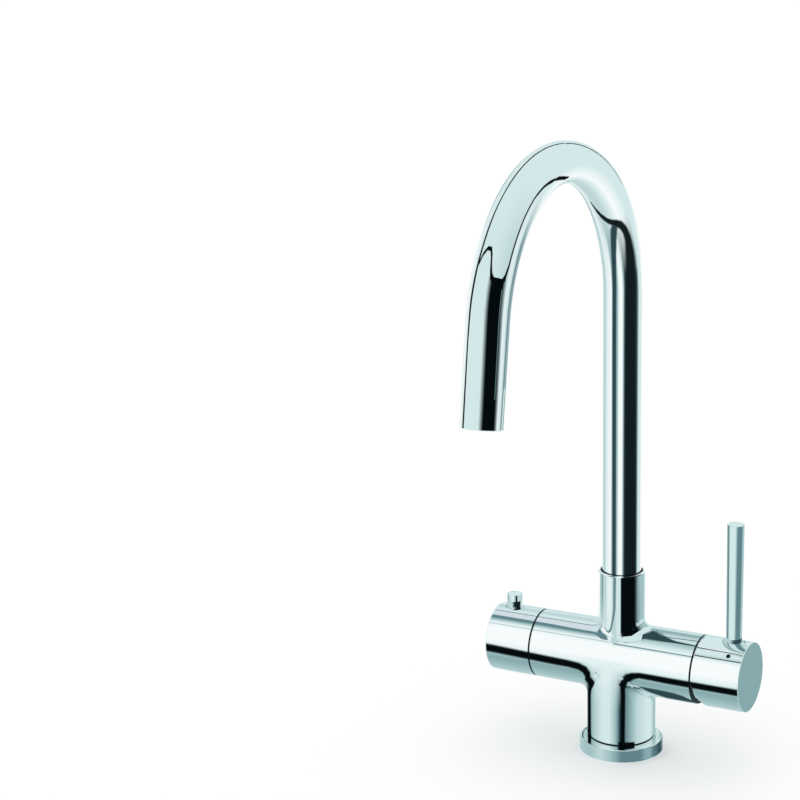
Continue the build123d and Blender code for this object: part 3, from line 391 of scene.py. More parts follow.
def socket_screw(radius, length, key, key_depth, pitch):
    """A headless screw about Z with its socket in the lower end, lower end at the origin."""
    core = radius - 0.32 * pitch
    chamfer = core * 0.2
    flank = 0.35 * pitch
    flat = 0.15 * pitch
    hair = 0.00001
    bpy.ops.mesh.primitive_circle_add(
        vertices=24, radius=core - chamfer, fill_type="NGON", location=(0.0, 0.0, length))
    screw = bpy.context.object
    bpy.ops.object.transform_apply(location=True, rotation=True, scale=True)
    bpy.ops.object.mode_set(mode="EDIT")
    bpy.ops.mesh.select_all(action="SELECT")
    draw_out(-chamfer)
    widen(core / (core - chamfer))
    turns = int((length - 1.5 * chamfer) / pitch)
    plain = (length - chamfer - turns * pitch) / 2.0
    draw_out(-plain)
    for _ in range(turns):
        draw_out(-flank)
        widen(radius / core)
        draw_out(-flat)
        draw_out(-flank)
        widen(core / radius)
        draw_out(-flat)
    draw_out(-plain)
    bpy.ops.mesh.delete(type="ONLY_FACE")
    bpy.ops.mesh.primitive_circle_add(vertices=6, radius=key, location=origin)
    pick(screw, lambda point: abs(point.z) < hair)
    bpy.ops.mesh.bridge_edge_loops()
    pick(screw, lambda point: abs(point.z) < hair and point.xy.length < key + hair)
    bpy.ops.mesh.edge_face_add()
    draw_out(key_depth)
    bpy.ops.object.mode_set(mode="OBJECT")
    return screw


wear(drawn_chrome, "mixer_handle")
lever_chrome = chrome_plate("lever_chrome", gloss=0.10, wave=0.00005)
wear(lever_chrome, "mixer_lever")
set_screw = socket_screw(radius=0.0025, length=0.0080, key=0.00125, key_depth=0.0040, pitch=0.0008)
settle(set_screw, "set_screw", steel_about_z, "mixer_handle", ["mixer_set_screw"],
       upright, (0.07965, 0.0, 0.0527))
black_enamel = moulded("black_enamel", dark=(0.003, 0.003, 0.004), light=(0.007, 0.007, 0.008),
                       smooth=0.40, rough=0.55, grain=0.000005, gloss=0.2)
wear(black_enamel, "handle_dot")

# Boiling valve
# A screwed-in brass body with two ceramic discs and a brass spindle, kept in by a spring circlip. A
# steel stop ring and a stop pin limit its turn, and on the real tap they also hold it shut until the
# button is pressed.

wear(brass_about_x, "boil_valve_body", "boil_spindle")
wear(ceramic, "boil_fixed_disc", "boil_moving_disc")
wear(steel_about_x, "spindle_circlip", "turn_stop_ring", "stop_pin")

# Boiling water knob
# The barrel matches the mixer's. A plastic adapter sits on the spindle's splines, and a small
# socket screw from below holds the knob to it.

wear(drawn_chrome, "boil_knob")
wear(cartridge_plastic, "knob_adapter")
grub_screw = socket_screw(radius=0.0015, length=0.0100, key=0.00075, key_depth=0.0020, pitch=0.0005)
settle(grub_screw, "grub_screw", steel_about_z, "boil_knob", ["knob_grub_screw"],
       upright, (-0.0719, 0.0, 0.0483))

# Safety button and its spring
# The button is a small chromed pin on top of the knob. A spring of hard steel wire, with its two
# end turns closed, pushes it up; on the real tap it is squeezed when the button is pressed.


def wire_spring(mean, wire, low, high, turns):
    """A spring about Z from low to high, its first and last turn lying close."""
    steps = 18
    close = wire * 2.05
    pitch = (high - low - 2.0 * wire - 2.0 * close) / (turns - 2)
    bpy.ops.mesh.primitive_circle_add(
        vertices=10, radius=wire, fill_type="NGON", location=(mean, 0.0, low + wire),
        rotation=(math.radians(90.0), 0.0, 0.0))
    spring = bpy.context.object
    bpy.ops.object.transform_apply(location=True, rotation=True, scale=True)
    bpy.ops.object.mode_set(mode="EDIT")
    bpy.ops.mesh.select_all(action="SELECT")
    for step in range(turns * steps):
        at_an_end = step < steps or step >= (turns - 1) * steps
        draw_out((close if at_an_end else pitch) / steps)
        bpy.ops.transform.rotate(
            value=math.radians(360.0 / steps), orient_axis="Z", center_override=origin)
    bpy.ops.object.mode_set(mode="OBJECT")
    return spring


every_way = (1.0, 1.0, 1.0)
spring_steel = turned_metal("spring_steel", dark=(0.42, 0.42, 0.42), light=(0.55, 0.55, 0.54),
                            smooth=0.24, rough=0.38, along=every_way)
button_x = -0.0782
coil = wire_spring(mean=0.0029, wire=0.0004, low=0.0678, high=0.0773, turns=6)
settle(coil, "return_spring", spring_steel, "boil_knob", ["button_spring"],
       upright, (button_x, 0.0, 0.0))
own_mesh(coil)
wear(lever_chrome, "safety_button")

# The studio
# The tap stands on a white table in a white room. Self-lit cards stand round it, most of them bent
# close to the metal, and a pale tent encloses them all. Only the plating sees them: they are painted
# reflections, which give it the bright bands, black edges and grey-green shades of a studio picture.


def seen_as(red, green, blue):
    """A colour of the finished picture, 0 to 255, as light."""
    light = []
    for level in (red / 255.0, green / 255.0, blue / 255.0):
        light.append(level / 12.92 if level <= 0.04045 else ((level + 0.055) / 1.055) ** 2.4)
    return tuple(light)


# Tones of the cards that paint reflections and shade on the plating, as they stand in the finished picture.
white = seen_as(254, 255, 255)
bright = seen_as(236, 246, 246)
pale = seen_as(217, 235, 235)
mist = seen_as(194, 216, 217)
teal = seen_as(165, 195, 197)
shade = seen_as(140, 172, 175)
slate = seen_as(100, 133, 139)
deep = seen_as(46, 72, 78)
ink = seen_as(20, 30, 33)
black = seen_as(6, 12, 14)

# The near cards' material: painted reflections, self-lit in each card's own tones, and clear where a card's
# cover is low and from behind.
painted_reflection = bpy.data.materials.new("painted_reflection")
painted_reflection.use_nodes = True
painted_reflection.cycles.emission_sampling = "NONE"
threads = painted_reflection.node_tree.nodes
ties = painted_reflection.node_tree.links
threads.clear()
painted_reflection_out = threads.new("ShaderNodeOutputMaterial")
painted_reflection_glow = threads.new("ShaderNodeEmission")
painted_reflection_clear = threads.new("ShaderNodeBsdfTransparent")
painted_reflection_mix = threads.new("ShaderNodeMixShader")
painted_reflection_tone = threads.new("ShaderNodeAttribute")
painted_reflection_tone.attribute_name = "tone"
painted_reflection_side = threads.new("ShaderNodeNewGeometry")
painted_reflection_cover = threads.new("ShaderNodeMath")
painted_reflection_cover.operation = "SUBTRACT"
painted_reflection_cover.use_clamp = True
ties.new(painted_reflection_tone.outputs["Color"], painted_reflection_glow.inputs["Color"])
ties.new(painted_reflection_tone.outputs["Alpha"], painted_reflection_cover.inputs[0])
ties.new(painted_reflection_side.outputs["Backfacing"], painted_reflection_cover.inputs[1])
ties.new(painted_reflection_cover.outputs["Value"], painted_reflection_mix.inputs["Fac"])
ties.new(painted_reflection_clear.outputs["BSDF"], painted_reflection_mix.inputs[1])
ties.new(painted_reflection_glow.outputs["Emission"], painted_reflection_mix.inputs[2])
ties.new(painted_reflection_mix.outputs["Shader"], painted_reflection_out.inputs["Surface"])


def only_for_gloss(thing):
    """Seen by shiny surfaces alone, with no shadow."""
    thing.visible_camera = False
    thing.visible_diffuse = False
    thing.visible_transmission = False
    thing.visible_volume_scatter = False
    thing.visible_shadow = False


def card(name, rows, tones, inside):
    """A bent card through rows of points, each with a colour and its cover, shown on its inner side."""
    wide = len(rows[0])
    faces = []
    for i in range(len(rows) - 1):
        for j in range(wide - 1):
            corner = i * wide + j
            faces.append((corner, corner + 1, corner + wide + 1, corner + wide))
    sheet = bpy.data.meshes.new(name)
    sheet.from_pydata([point for row in rows for point in row], [], faces)
    first = sheet.polygons[0]
    if first.normal.dot(Vector(inside) - first.center) < 0.0:
        sheet.flip_normals()
    tone = sheet.color_attributes.new(name="tone", type="FLOAT_COLOR", domain="POINT")
    for i, (colour, cover) in enumerate(t for row in tones for t in row):
        tone.data[i].color = (*colour, cover)
    sheet.materials.append(painted_reflection)
    thing = bpy.data.objects.new(name, sheet)
    bpy.context.scene.collection.objects.link(thing)
    only_for_gloss(thing)
    return thing


def tone_at(stops, place):
    """The colour at a place between the stops, which are (place, colour)."""
    for (p0, c0), (p1, c1) in zip(stops[:-1], stops[1:]):
        if p0 <= place <= p1:
            t = (place - p0) / (p1 - p0)
            return tuple(c0[k] + (c1[k] - c0[k]) * t for k in range(3))
    return stops[0][1] if place < stops[0][0] else stops[-1][1]


def places(stops):
    """The stops' places with others between them, at most four degrees apart."""
    found = []
    for (p0, _), (p1, _) in zip(stops[:-1], stops[1:]):
        count = math.ceil((p1 - p0) / 4.0)
        found += [p0 + (p1 - p0) * i / count for i in range(count)]
    return found + [stops[-1][0]]


# Cards that paint the reflections stand round the metal in layers: base cards furthest out, then pale veils,
# then dark bands.
near_bar = 0.0265
near_collar = 0.0195
veil_over_bar = 0.0262
veil_over_collar = 0.0192
band_over_bar = 0.0259
band_over_collar = 0.0189


def all_round(value):
    """An edge that keeps to one value."""
    return lambda *place: value


def round_bar(name, stops, start, end):
    """A card round the crossbar. Places are degrees up from the front; start and end give x."""
    rows = []
    tones = []
    for place in places(stops):
        a = math.radians(place)
        y = -near_bar * math.cos(a)
        rise = near_bar * math.sin(a)
        x0 = start(y, rise)
        x1 = end(y, rise)
        rows.append([(x0 + (x1 - x0) * i / 4.0, y, bar_height + rise) for i in range(5)])
        tones.append([(tone_at(stops, place), 1.0)] * 5)
    return card(name, rows, tones, (rows[0][0][0], 0.0, bar_height))


def round_post(name, stops, radius, low, high, x_axis=0.0):
    """A card round an upright. Places are degrees from the front towards +X; low and high give z."""
    rows = []
    tones = []
    for place in places(stops):
        a = math.radians(place)
        x = radius * math.sin(a)
        y = -radius * math.cos(a)
        z0 = low(x, y)
        z1 = high(x, y)
        rows.append([(x_axis + x, y, z0 + (z1 - z0) * i / 4.0) for i in range(5)])
        tones.append([(tone_at(stops, place), 1.0)] * 5)
    return card(name, rows, tones, (x_axis, 0.0, rows[0][0][2]))


def flat_round(name, stops, inner, outer, height, inside):
    """A flat ring of card round the column's axis, with its places as in round_post."""
    rows = []
    tones = []
    for place in places(stops):
        a = math.radians(place)
        rows.append([(r * math.sin(a), -r * math.cos(a), height) for r in (inner, outer)])
        tones.append([(tone_at(stops, place), 1.0)] * 2)
    return card(name, rows, tones, inside)


def left_join(y, rise):
    """The bar's end in the middle: on the collar's card above, mitred with the column's card below."""
    return -math.sqrt(max(0.0, near_collar ** 2 - y ** 2)) if rise > 0.0 else rise


def right_join(y, rise):
    """The same on the other side."""
    return -left_join(y, rise)


def over_bar(y):
    """The height of the card on top of the bar at that depth."""
    return bar_height + math.sqrt(near_bar ** 2 - y ** 2)


# Painted reflections on the crossbar: white above, a black edge under it and teal below, then a pale top with
# one dark line.
handle_start = 0.0565
lilac = seen_as(214, 224, 232)
under_bar = [(-80, mist), (-50, teal), (-26, shade), (-16, teal), (-4, pale), (0, bright)]
over_left = [
    (12, white), (36, white), (42, bright), (42.5, teal), (43.5, teal), (44, white), (46, bright),
    (50, mist), (54, shade), (56, slate), (58, slate), (58.5, lilac), (74, lilac), (74.5, slate),
    (76, slate), (76.5, pale), (84, pale), (90, mist), (97, mist), (104, pale)]
back_of_bar = [
    (110, mist), (125, pale), (150, mist), (168, white), (184, bright), (187, deep), (190, black),
    (199, black), (202, slate), (215, teal), (240, shade), (280, mist)]
round_bar("card_bar_left", under_bar + over_left, all_round(-0.095), left_join)
over_right = [
    (12, white), (36, white), (40, pale), (41, slate), (42, slate), (43, bright), (50, pale),
    (56, mist), (62, teal), (68, mist), (76, pale), (84, mist), (94, shade), (104, teal)]
round_bar("card_bar_right", under_bar + over_right, right_join, all_round(handle_start))
on_handle = [
    (12, white), (36, white), (40, bright), (44, pale), (45, ink), (46, ink), (47, mist), (52, pale)]
round_bar("card_handle", under_bar + on_handle, all_round(handle_start), all_round(0.094))
round_bar("card_back_left", back_of_bar, all_round(-0.0902), left_join)
round_bar("card_back_right", back_of_bar, right_join, all_round(0.0902))
# Painted reflections on the column: grey-green sides, a dark stripe right of its middle, and a pale back
# between black edges.
column = [
    (-110, teal), (-75, mist), (-50, shade), (-44, teal), (-30, mist), (-14, pale), (0, pale),
    (6, mist), (12, teal), (18, slate), (20, deep), (30, deep), (31.5, slate), (40, shade), (47, teal),
    (55, mist), (80, pale), (95, pale), (112, teal), (125, teal), (140, pale), (152, deep),
    (154, black), (160, black), (162, slate), (175, pale), (200, white), (220, pale), (234, slate),
    (236, black), (241, black), (243, slate), (250, teal)]
round_post("card_column", column, near_bar, all_round(0.0080), lambda x, y: bar_height + 0.0005 - abs(x))
# Painted reflections on the collar: white at its left, pale in its middle and black at its right.
collar = [
    (-115, white), (-66, white), (-60, teal), (-50, teal), (-46, slate), (-43, shade), (-39, mist),
    (-28, mist), (-23, bright), (-9, bright), (-5, mist), (5, mist), (10, pale), (19, pale),
    (21, slate), (22.5, black), (64, black), (67, slate), (73, shade), (77, mist), (85, teal),
    (110, teal), (125, pale), (160, white), (190, mist), (197, deep), (200, black), (212, black),
    (215, slate), (230, mist), (245, white)]
round_post("card_collar", collar, near_collar, lambda x, y: over_bar(y) - 0.0005, all_round(0.30))
# A pale brim low over the collar's foot looks down between collar and card: a painted pale reflection.
brim = [(-130, pale), (-60, bright), (-10, bright), (20, pale), (130, pale)]
flat_round("card_brim", brim, 0.0154, 0.0196, 0.0940, origin)
# Pale eaves over the corner of collar and bar paint a pale reflection there and keep the black foot out of
# the bar's top.
eaves = [
    (0.0070, -0.0175, 0.0836), (0.0105, -0.0160, 0.0842), (0.0140, -0.0145, 0.0852),
    (0.0185, -0.0120, 0.0866)]
rows = [[(x, y + 0.003, z), (x, y - 0.003, z)] for x, y, z in eaves]
card("card_eaves", rows, [[(pale, 1.0)] * 2] * len(eaves), origin)
# A black skirt, a painted black reflection, closes the slit under the collar's card, where white light would
# slip in.
round_post("card_skirt", [(26, black), (68, black)], 0.0193,
           lambda x, y: over_bar(y) - 0.0012 - abs(x) * 0.1, lambda x, y: over_bar(y))
# Painted reflections on the base flange: grey-green all round, with one card round its rim and one lying flat
# under it.
flange = [
    (-110, mist), (-30, teal), (-8, mist), (6, teal), (15, shade), (24, slate), (54, slate),
    (64, shade), (73, shade), (78, slate), (101, deep), (115, slate), (140, teal), (180, pale),
    (220, teal), (250, mist)]
round_post("card_flange", flange, 0.0300, all_round(0.0004), all_round(0.0112))
flat_round("card_under_flange", flange, 0.0272, 0.0301, 0.0006, (0.0, 0.0, 1.0))

soft_edge = (
    (-0.12, 0), (0.04, 0.75), (0.14, 1), (0.32, 1), (0.5, 1), (0.68, 1), (0.86, 1), (0.96, 0.75),
    (1.12, 0))


def between(start, end, share):
    """The place that lies that share of the way from one place to another."""
    return [start[k] + (end[k] - start[k]) * share for k in (0, 1)]


def band(ribs, turn, colour, last_cover=1.0):
    """Rows and tones of a band with soft edges; ribs are pairs of places that turn makes points."""
    steps = 12
    fine = []
    for (a0, b0), (a1, b1) in zip(ribs[:-1], ribs[1:]):
        for i in range(steps):
            fine.append((between(a0, a1, i / steps), between(b0, b1, i / steps)))
    fine.append(ribs[-1])
    rows = []
    tones = []
    for i, (a, b) in enumerate(fine):
        fade = 1.0 + (last_cover - 1.0) * i / (len(fine) - 1)
        rows.append([turn(*between(a, b, share)) for share, _ in soft_edge])
        tones.append([(colour, cover * fade) for _, cover in soft_edge])
    return rows, tones


def from_front(name, ribs, colour, bar_layer, post_layer, last_cover=1.0):
    """A band over bar and column, or bar and collar, drawn by x and z as it is seen from the front."""
    def on_layer(x, z):
        off_bar = bar_layer ** 2 - (z - bar_height) ** 2
        off_post = post_layer ** 2 - x ** 2
        return (x, -math.sqrt(max(off_bar, off_post, 0.0)), z)

    rows, tones = band(ribs, on_layer, colour, last_cover)
    return card(name, rows, tones, (rows[0][0][0], 0.0, rows[0][0][2]))


# Painted reflection: between the two turned edges the white of the bar fades down into the column.
from_front("card_middle", [
    ((-0.0160, 0.0680), (0.0110, 0.0680)), ((-0.0150, 0.0580), (0.0090, 0.0580)),
    ((-0.0170, 0.0480), (0.0095, 0.0480)), ((-0.0170, 0.0340), (0.0095, 0.0340))],
    bright, bar_layer=0.0263, post_layer=0.0263, last_cover=0.0)
# The painted black edge of reflection turns down the column on both sides.
from_front("card_left_edge", [
    ((-0.0950, 0.0655), (-0.0950, 0.0581)), ((-0.0850, 0.0654), (-0.0850, 0.0579)),
    ((-0.0600, 0.0643), (-0.0600, 0.0570)), ((-0.0395, 0.0635), (-0.0395, 0.0563)),
    ((-0.0300, 0.0632), (-0.0300, 0.0564)), ((-0.0216, 0.0624), (-0.0228, 0.0553)),
    ((-0.0164, 0.0600), (-0.0200, 0.0531)), ((-0.0142, 0.0552), (-0.0192, 0.0491)),
    ((-0.0150, 0.0482), (-0.0212, 0.0436)), ((-0.0192, 0.0421), (-0.0246, 0.0392)),
    ((-0.0200, 0.0380), (-0.0252, 0.0370)), ((-0.0198, 0.0080), (-0.0252, 0.0080))],
    black, band_over_bar, band_over_bar)
from_front("card_right_edge", [
    ((0.0940, 0.0627), (0.0940, 0.0565)), ((0.0400, 0.0627), (0.0400, 0.0567)),
    ((0.0295, 0.0628), (0.0295, 0.0572)), ((0.0211, 0.0627), (0.0205, 0.0573)),
    ((0.0155, 0.0615), (0.0170, 0.0555)), ((0.0112, 0.0592), (0.0145, 0.0530)),
    ((0.0088, 0.0555), (0.0130, 0.0500)), ((0.0092, 0.0520), (0.0130, 0.0470)),
    ((0.0098, 0.0460), (0.0133, 0.0440)), ((0.0099, 0.0400), (0.0132, 0.0400)),
    ((0.0099, 0.0080), (0.0131, 0.0080))],
    black, band_over_bar, band_over_bar)
# The collar's painted white and black reflections run on into its foot.
from_front("card_foot_white", [
    ((-0.0176, 0.0885), (-0.0040, 0.0840)), ((-0.0176, 0.0930), (-0.0010, 0.0890)),
    ((-0.0176, 0.1100), (-0.0010, 0.1100))],
    pale, veil_over_bar, veil_over_collar, last_cover=0.0)
from_front("card_foot_black", [
    ((0.0076, 0.0832), (0.0185, 0.0864)), ((0.0076, 0.0900), (0.0178, 0.0930)),
    ((0.0076, 0.2000), (0.0176, 0.2000))],
    black, bar_layer=0.0260, post_layer=0.0190)
# A painted dark line of reflection on the bar's top turns up the collar.
from_front("card_top_line", [
    ((-0.0950, 0.0874), (-0.0950, 0.0861)), ((-0.0500, 0.0874), (-0.0500, 0.0861)),
    ((-0.0257, 0.0870), (-0.0257, 0.0858)), ((-0.0150, 0.0870), (-0.0150, 0.0858)),
    ((-0.0115, 0.0863), (-0.0120, 0.0850)), ((-0.0085, 0.0850), (-0.0090, 0.0836)),
    ((-0.0060, 0.0846), (-0.0055, 0.0832)), ((-0.0042, 0.0860), (-0.0028, 0.0848)),
    ((-0.0030, 0.0886), (-0.0014, 0.0878)), ((-0.0022, 0.0918), (-0.0004, 0.0912)),
    ((-0.0012, 0.0960), (0.0008, 0.0955)), ((-0.0004, 0.1010), (0.0018, 0.1005)),
    ((-0.0003, 0.1247), (0.0022, 0.1247))],
    slate, band_over_bar, band_over_collar)
# Painted dark reflections lie beside the collar's foot and under the right arm.
from_front("card_beside_collar", [
    ((0.0150, 0.0882), (0.0160, 0.0868)), ((0.0190, 0.0900), (0.0190, 0.0874)),
    ((0.0225, 0.0911), (0.0220, 0.0875)), ((0.0316, 0.0901), (0.0310, 0.0876)),
    ((0.0410, 0.0889), (0.0410, 0.0879)), ((0.0565, 0.0884), (0.0565, 0.0879))],
    deep, band_over_bar, post_layer=0.0188)
# A second thin painted dark line of reflection on the bar's top, right of the collar.
from_front("card_top_second_line", [
    ((0.0300, 0.0903), (0.0300, 0.0900)), ((0.0565, 0.0906), (0.0565, 0.0903))],
    slate, veil_over_bar, veil_over_bar)
from_front("card_under_arm", [
    ((0.0190, 0.0485), (0.0200, 0.0472)), ((0.0240, 0.0486), (0.0240, 0.0440)),
    ((0.0355, 0.0484), (0.0340, 0.0395)), ((0.0424, 0.0479), (0.0420, 0.0393)),
    ((0.0489, 0.0462), (0.0480, 0.0393)), ((0.0530, 0.0430), (0.0520, 0.0393)),
    ((0.0565, 0.0404), (0.0562, 0.0393))],
    deep, veil_over_bar, veil_over_bar)
# A small sill in the corner of arm and column carries the painted black edge of reflection round the bend.
sill = [(0.0075, black, 0.0), (0.0084, black, 1.0), (0.0118, black, 1.0),
        (0.0128, teal, 1.0), (0.0165, teal, 0.0)]
rows = [[(x, -0.0250, 0.0520), (x, -0.0190, 0.0520)] for x, _, _ in sill]
card("card_sill", rows, [[(colour, cover)] * 2 for _, colour, cover in sill], (0.010, -0.022, 0.060))
# Painted shade in the corner over the flange: a dark ring, with two black patches on it.
patch_layer = 0.0256
round_post("card_foot_ring", [(-110, ink), (110, ink)], 0.0257, all_round(0.0078), all_round(0.0096))
from_front("card_foot_patch", [
    ((0.0080, 0.0118), (0.0080, 0.0080)), ((0.0195, 0.0112), (0.0195, 0.0080))],
    black, patch_layer, patch_layer)
from_front("card_foot_corner", [
    ((-0.0245, 0.0120), (-0.0245, 0.0080)), ((-0.0190, 0.0108), (-0.0190, 0.0080))],
    black, patch_layer, patch_layer)

# Painted reflections on the spout: places are how far along the tube, from 0.1 m up, and degrees round it
# from its outer side.
near_spout = 0.0160
band_on_spout = 0.0157
glint_on_spout = 0.0154
tube_start = 0.100
rise_end = 0.20745
top_bend = 0.0953
tip_bend = 0.0920
top_centre = tube_start + rise_end
tip_centre = top_centre + top_bend - tip_bend
top_end = rise_end + top_bend * math.pi / 2.0
bend_end = top_end + tip_bend * math.radians(81.0)


def beside_spout(along, around, radius):
    """A point beside the spout's tube."""
    if along <= rise_end:
        out = (1.0, 0.0)
        middle = (0.0, tube_start + along)
    elif along <= top_end:
        a = (along - rise_end) / top_bend
        out = (math.cos(a), math.sin(a))
        middle = (top_bend * out[0] - top_bend, top_bend * out[1] + top_centre)
    else:
        a = min(along - top_end, bend_end - top_end) / tip_bend
        straight = max(0.0, along - bend_end)
        out = (-math.sin(a), math.cos(a))
        middle = (tip_bend * out[0] - straight * out[1] - top_bend,
                  tip_bend * out[1] + straight * out[0] + tip_centre)
    a = math.radians(around)
    across = radius * math.cos(a)
    return (radius * math.sin(a), middle[0] + out[0] * across, middle[1] + out[1] * across)


riser = [
    (0, white), (60, white), (80, pale), (90, pale), (96, shade), (101, deep), (149, deep),
    (151, slate), (155, mist), (159, white), (169, white), (173, mist), (177, shade), (182, slate),
    (190, slate), (194, shade), (199, white), (228, pale), (236, teal), (243, mist), (256, pale),
    (268, white), (278, pale), (288, shade), (324, shade), (330, pale), (334, white), (345, white),
    (349, slate), (354, slate), (358, white), (360, white)]
arch = [
    (0, pale), (95, pale), (115, bright), (135, white), (155, pale), (175, mist), (200, mist),
    (220, bright), (240, mist), (262, shade), (296, shade), (305, pale), (330, pale), (360, pale)]
leg = [
    (0, pale), (14, pale), (72, mist), (76, bright), (92, pale), (99, slate), (102, slate), (104, mist),
    (108, white), (113, teal), (118, slate), (124, pale), (130, white), (200, white), (214, pale),
    (222, shade), (262, shade), (268, mist), (280, white), (300, bright), (330, pale), (360, pale)]
lengths = [
    (0.0235, riser), (0.10, riser), (0.195, riser), (0.2075, riser), (0.222, riser), (0.268, arch),
    (0.31, arch), (0.357, arch), (0.40, arch), (0.44, leg), (0.49, leg), (0.5476, leg)]
turns = range(0, 361, 3)
row_gap = 0.012
spout_rows = []
spout_tones = []
for (s0, tones0), (s1, tones1) in zip(lengths[:-1], lengths[1:]):
    count = math.ceil((s1 - s0) / row_gap)
    shares = [i / count for i in range(count)]
    if s1 == lengths[-1][0]:
        shares.append(1.0)
    for share in shares:
        spout_rows.append([beside_spout(s0 + (s1 - s0) * share, a, near_spout) for a in turns])
        mixed = []
        for a in turns:
            pair = zip(tone_at(tones0, a), tone_at(tones1, a))
            mixed.append(([c0 + (c1 - c0) * share for c0, c1 in pair], 1.0))
        spout_tones.append(mixed)
spout_cards = [card("card_spout", spout_rows, spout_tones, (0.0, 0.0, 0.125))]


def along_spout(name, ribs, colour, radius=band_on_spout):
    """A band close to the spout; ribs are pairs of (how far along, degrees round)."""
    rows, tones = band(ribs, lambda along, around: beside_spout(along, around, radius), colour)
    spout_cards.append(card(name, rows, tones, beside_spout(*ribs[0][0], 0.0)))


along_spout("card_riser_black", [
    ((0.0235, 101), (0.0235, 149)), ((0.1000, 104), (0.1000, 150)), ((0.2075, 108), (0.2075, 150)),
    ((0.2242, 106), (0.2242, 146)), ((0.2380, 104), (0.2380, 139)), ((0.2497, 107), (0.2480, 133)),
    ((0.2580, 115), (0.2535, 134)), ((0.2640, 127), (0.2578, 139)), ((0.2668, 141), (0.2604, 148)),
    ((0.2682, 156), (0.2625, 160)), ((0.2702, 169), (0.2648, 173)), ((0.2745, 184), (0.2685, 188)),
    ((0.2800, 197), (0.2740, 201)), ((0.2870, 207), (0.2835, 210))], ink)
along_spout("card_riser_slate", [
    ((0.0235, 178), (0.0235, 191)), ((0.2075, 180), (0.2075, 194)), ((0.2242, 177), (0.2242, 192)),
    ((0.2380, 170), (0.2380, 187)), ((0.2497, 160), (0.2497, 180)), ((0.2570, 151), (0.2590, 172)),
    ((0.2610, 146), (0.2630, 163))], deep)
along_spout("card_back_black", [
    ((0.0235, 291), (0.0235, 321)), ((0.2075, 289), (0.2075, 318)), ((0.2800, 265), (0.2800, 292)),
    ((0.3570, 243), (0.3570, 272)), ((0.4700, 226), (0.4700, 256)), ((0.5476, 226), (0.5476, 256))], ink)
along_spout("card_leg_black", [
    ((0.4635, 17), (0.4635, 66)), ((0.4700, 17), (0.4700, 67)),
    ((0.4870, 18), (0.4870, 69)), ((0.5300, 21), (0.5300, 72)), ((0.5476, 22), (0.5476, 73))], black)
along_spout("card_leg_glint", [
    ((0.4690, 58), (0.4690, 60)), ((0.4900, 59), (0.4900, 61)), ((0.5300, 61), (0.5300, 63))],
    slate, glint_on_spout)
# One thin painted black line of reflection runs from the outer edge over the tongue of the leg, round the
# arch's end and up its inner side, and another one along the outer side.
along_spout("card_leg_cup", [
    ((0.4560, -34), (0.4580, -31)), ((0.4510, -24), (0.4530, -21)), ((0.4475, -10), (0.4500, -9)),
    ((0.4480, 3), (0.4505, 1)), ((0.4520, 10), (0.4540, 7)), ((0.4570, 15), (0.4600, 12)),
    ((0.4615, 21), (0.4650, 17)), ((0.4640, 30), (0.4670, 28)), ((0.4650, 41), (0.4680, 41)),
    ((0.4640, 52), (0.4670, 54)), ((0.4610, 60), (0.4640, 66)), ((0.4550, 66), (0.4560, 71)),
    ((0.4400, 68), (0.4400, 73)), ((0.4250, 69), (0.4250, 74)), ((0.4100, 72), (0.4100, 77)),
    ((0.3980, 78), (0.3980, 85)), ((0.3890, 86), (0.3890, 95)), ((0.3800, 97), (0.3800, 108)),
    ((0.3700, 111), (0.3700, 124)), ((0.3620, 123), (0.3620, 136)), ((0.3550, 131), (0.3550, 138))], black)
along_spout("card_outer_line", [
    ((0.5476, 313), (0.5476, 323)), ((0.5000, 310), (0.5000, 319)), ((0.4750, 312), (0.4750, 323)),
    ((0.4600, 317), (0.4600, 327)), ((0.4450, 323), (0.4450, 331)), ((0.4250, 328), (0.4250, 334)),
    ((0.4000, 335), (0.4000, 341)), ((0.3800, 342), (0.3800, 349)), ((0.3650, 352), (0.3650, 359)),
    ((0.3530, 364), (0.3530, 370)), ((0.3400, 377), (0.3400, 384)), ((0.3230, 392), (0.3230, 399)),
    ((0.3000, 400), (0.3000, 406)), ((0.2800, 405), (0.2800, 410))], black)

# Lever and safety button have their own small cards of painted reflection, with darker ones at their feet
# that paint shade there.
lever_x = -button_x
lever = [
    (-110, mist), (-50, slate), (-44, slate), (-38, mist), (-30, pale), (18, pale), (28, teal),
    (38, slate), (80, slate), (92, teal), (137, mist), (180, pale), (225, mist), (250, mist)]
lever_card = round_post("card_lever", lever, 0.0075, all_round(0.0862), all_round(0.1670), lever_x)
lever_foot = [
    (-90, teal), (-30, mist), (-10, teal), (8, slate), (24, deep), (95, deep), (120, slate), (150, teal)]
lever_foot_card = round_post(
    "card_lever_foot", lever_foot, 0.0073, all_round(0.0850), all_round(0.0890), lever_x)
button_foot = [(-90, slate), (-60, mist), (0, mist), (12, slate), (22, ink), (80, ink), (92, teal)]
button_foot_card = round_post(
    "card_button_foot", button_foot, 0.0064, all_round(0.0870), all_round(0.0912), button_x)
button = [
    (-110, mist), (-62, teal), (-50, slate), (-46, mist), (-25, mist), (8, bright), (24, mist),
    (33, shade), (36, ink), (50, ink), (54, mist), (90, mist), (140, teal), (180, pale), (220, teal),
    (250, mist)]
button_card = round_post("card_button", button, 0.0066, all_round(0.0895), all_round(0.0975), button_x)
# The cards round a piece that moves go with it.
for thing in spout_cards:
    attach(thing, "spout")
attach(lever_card, "mixer_handle")
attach(lever_foot_card, "mixer_handle")
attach(button_card, "button")
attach(button_foot_card, "boil_knob")


